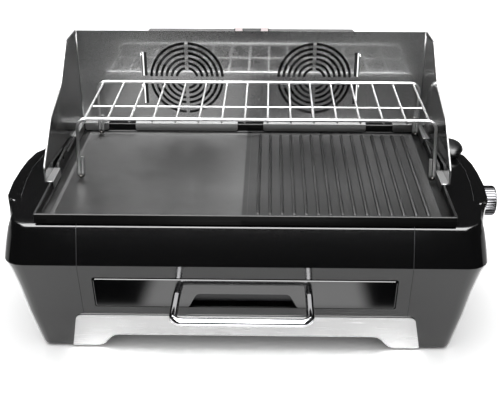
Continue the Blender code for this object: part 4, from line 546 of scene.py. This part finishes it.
# Drawer handle: a steel rod bent to a flat D, chromed and let into the drawer's front. The plate
# mirrors the room sharply, with finger smears about 12 mm long.
chrome, tree, shader = new_material("bright_chrome_plate", "#D2D2D4", 0.08, 1.0)
grain(tree, shader, 0.012, 3.0, roughness=(0.05, 0.14), span=(0.3, 0.7))
dress(["drawer_handle"], chrome, 45)

# Drawer front: moulded in the housing's gloss black, and clipped to the tray. The shading tips its
# face up, more upright than the panel round it, so that it mirrors the table's dark front.
drawer_black, tree, shader = new_material("moulded_gloss_black_drawer", "#0C0C0D", 0.1,
                                          Coat_Weight=0.3, Coat_Roughness=0.05)
drawer_lean = 14
facing = node(tree, "ShaderNodeNewGeometry").outputs["Normal"]
leant = node(tree, "ShaderNodeVectorRotate", {"rotation_type": "X_AXIS"},
             {"Vector": facing, "Angle": -math.radians(drawer_lean)})
tree.links.new(leant.outputs[0], shader.inputs["Normal"])
tree.links.new(leant.outputs[0], shader.inputs["Coat Normal"])
dress(["drawer_front"], drawer_black, 30)

# Drip tray, thermostat, motors and switch bodies: pressed steel, coated in dark enamel. The enamel
# has a soft shine with the orange peel of a thick spray, about 3 mm across.
enamel, tree, shader = new_material("dark_enamelled_sheet", "#2A2A2C", 0.35)
grain(tree, shader, 0.003, bump=(0.15, 0.0002))
dress(["drip_tray", "thermostat", "thermostat_shaft", "fan_motor_left", "fan_motor_right",
       "switch_body_left", "switch_body_right"], enamel)

# Control knob: a ribbed zinc die casting with a smoked chrome plate, pushed on the thermostat's
# shaft. The ribs are barrelled, so the lamp's band falls across the knob's middle.
smoked, tree, shader = new_material("smoked_chrome_plate", "#606062", 0.2, 1.0)
grain(tree, shader, 0.004, roughness=(0.16, 0.26))
knob_barrel = 18
facing = node(tree, "ShaderNodeNewGeometry").outputs["Normal"]
tipped = node(tree, "ShaderNodeVectorRotate", {"rotation_type": "X_AXIS"},
              {"Vector": facing, "Angle": -math.radians(knob_barrel)})
tree.links.new(tipped.outputs[0], shader.inputs["Normal"])
dress(["control_knob"], smoked, 25)

# Inlet hood: a moulded cover behind the right shoulder, over the place where the mains lead leaves.
# Its eggshell surface gives a soft highlight with a faint grain of 1.2 mm.
eggshell, tree, shader = new_material("eggshell_black_plastic", "#0D0D0E", 0.32)
grain(tree, shader, 0.0012, roughness=(0.28, 0.38))
dress(["inlet_hood"], eggshell, 30)

# Fan box: a folded shell and a flat cover of satin steel sheet, screwed together behind the
# windshield. The rolling lines run across it, drawn coarser at 0.6 mm, and spread the light evenly.
satin, tree, shader = new_material("satin_steel_sheet", "#5E5E5E", 0.5, 1.0)
grain(tree, shader, (0.05, 0.05, 0.0006), 3.0, roughness=(0.45, 0.6), span=(0.3, 0.7))
dress(["fan_housing", "fan_housing_cover"], satin)

# The box's face behind the windshield is painted dull black, as painted shade, so its slots and
# rings look dark. Its grain is drawn coarser, at 0.8 mm.
painted_shade_black, tree, shader = new_material("painted_shade_black_steel", "#0B0B0B", 0.7)
grain(tree, shader, 0.0008, bump=(0.2, 0.0002))
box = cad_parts["fan_housing"]
front_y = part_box("fan_housing")[0].y
shade_black_slot = len(box.data.materials)
box.data.materials.append(painted_shade_black)
for face in box.data.polygons:
    if all(box.data.vertices[v].co.y < front_y + 0.0001 for v in face.vertices):
        face.material_index = shade_black_slot

# Vent hoods: each vent of the rear cover is pressed out of the satin sheet into a hood that opens
# downwards, eight behind each fan. The profile gives each point's stand-off and height.
hood_count = 8
hood_pitch = 0.011
hood_half = 0.047
hood_foot = -0.0046
hood_sheet = 0.0006
hood_profile = ((0.0, 0.0030), (0.0016, 0.0026), (0.0030, 0.0012), (0.0036, -0.0012), (0.0036, hood_foot))
cover_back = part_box("fan_housing_cover")[1].y
hoods = bmesh.new()
for label in ("left", "right"):
    low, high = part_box(f"fan_frame_{label}")
    fan_centre = (low + high) / 2
    for k in range(hood_count):
        z = fan_centre.z + hood_pitch * (k - (hood_count - 1) / 2)
        ends = [[hoods.verts.new((fan_centre.x + side * hood_half, cover_back + out, z + up))
                 for out, up in hood_profile] for side in (-1, 1)]
        for i in range(len(hood_profile) - 1):
            hoods.faces.new((ends[0][i], ends[0][i + 1], ends[1][i + 1], ends[1][i]))
        for end in ends:
            foot = hoods.verts.new((end[0].co.x, end[0].co.y, z + hood_foot))
            hoods.faces.new([foot] + end)
mesh = bpy.data.meshes.new("vent_hoods")
hoods.to_mesh(mesh)
mesh.materials.append(satin)
piece = bpy.data.objects.new("vent_hoods", mesh)
scene.collection.objects.link(piece)
thick = piece.modifiers.new("thickness", "SOLIDIFY")
thick.thickness = hood_sheet
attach(piece, "grill")

# Fans: axial fans moulded in dark grey nylon, pressed on the motors' shafts. The glass fibre in it
# roughens the surface, drawn coarser at 0.8 mm, and leaves it dull.
fan_nylon, tree, shader = new_material("glass_filled_nylon", "#1F2023", 0.5)
grain(tree, shader, 0.0008, bump=(0.2, 0.0002))
dress(["fan_left", "fan_right"], fan_nylon)

# Rocker keys: pale pinkish-white ABS, moulded with a soft shine and clipped in the switch strip,
# where they rock on cross pins. The faint grain is drawn coarser, at 0.5 mm.
key_white, tree, shader = new_material("pale_rocker_abs", "#EADCDC", 0.3)
grain(tree, shader, 0.0005, roughness=(0.26, 0.36))
dress(["rocker_left", "rocker_right"], key_white)
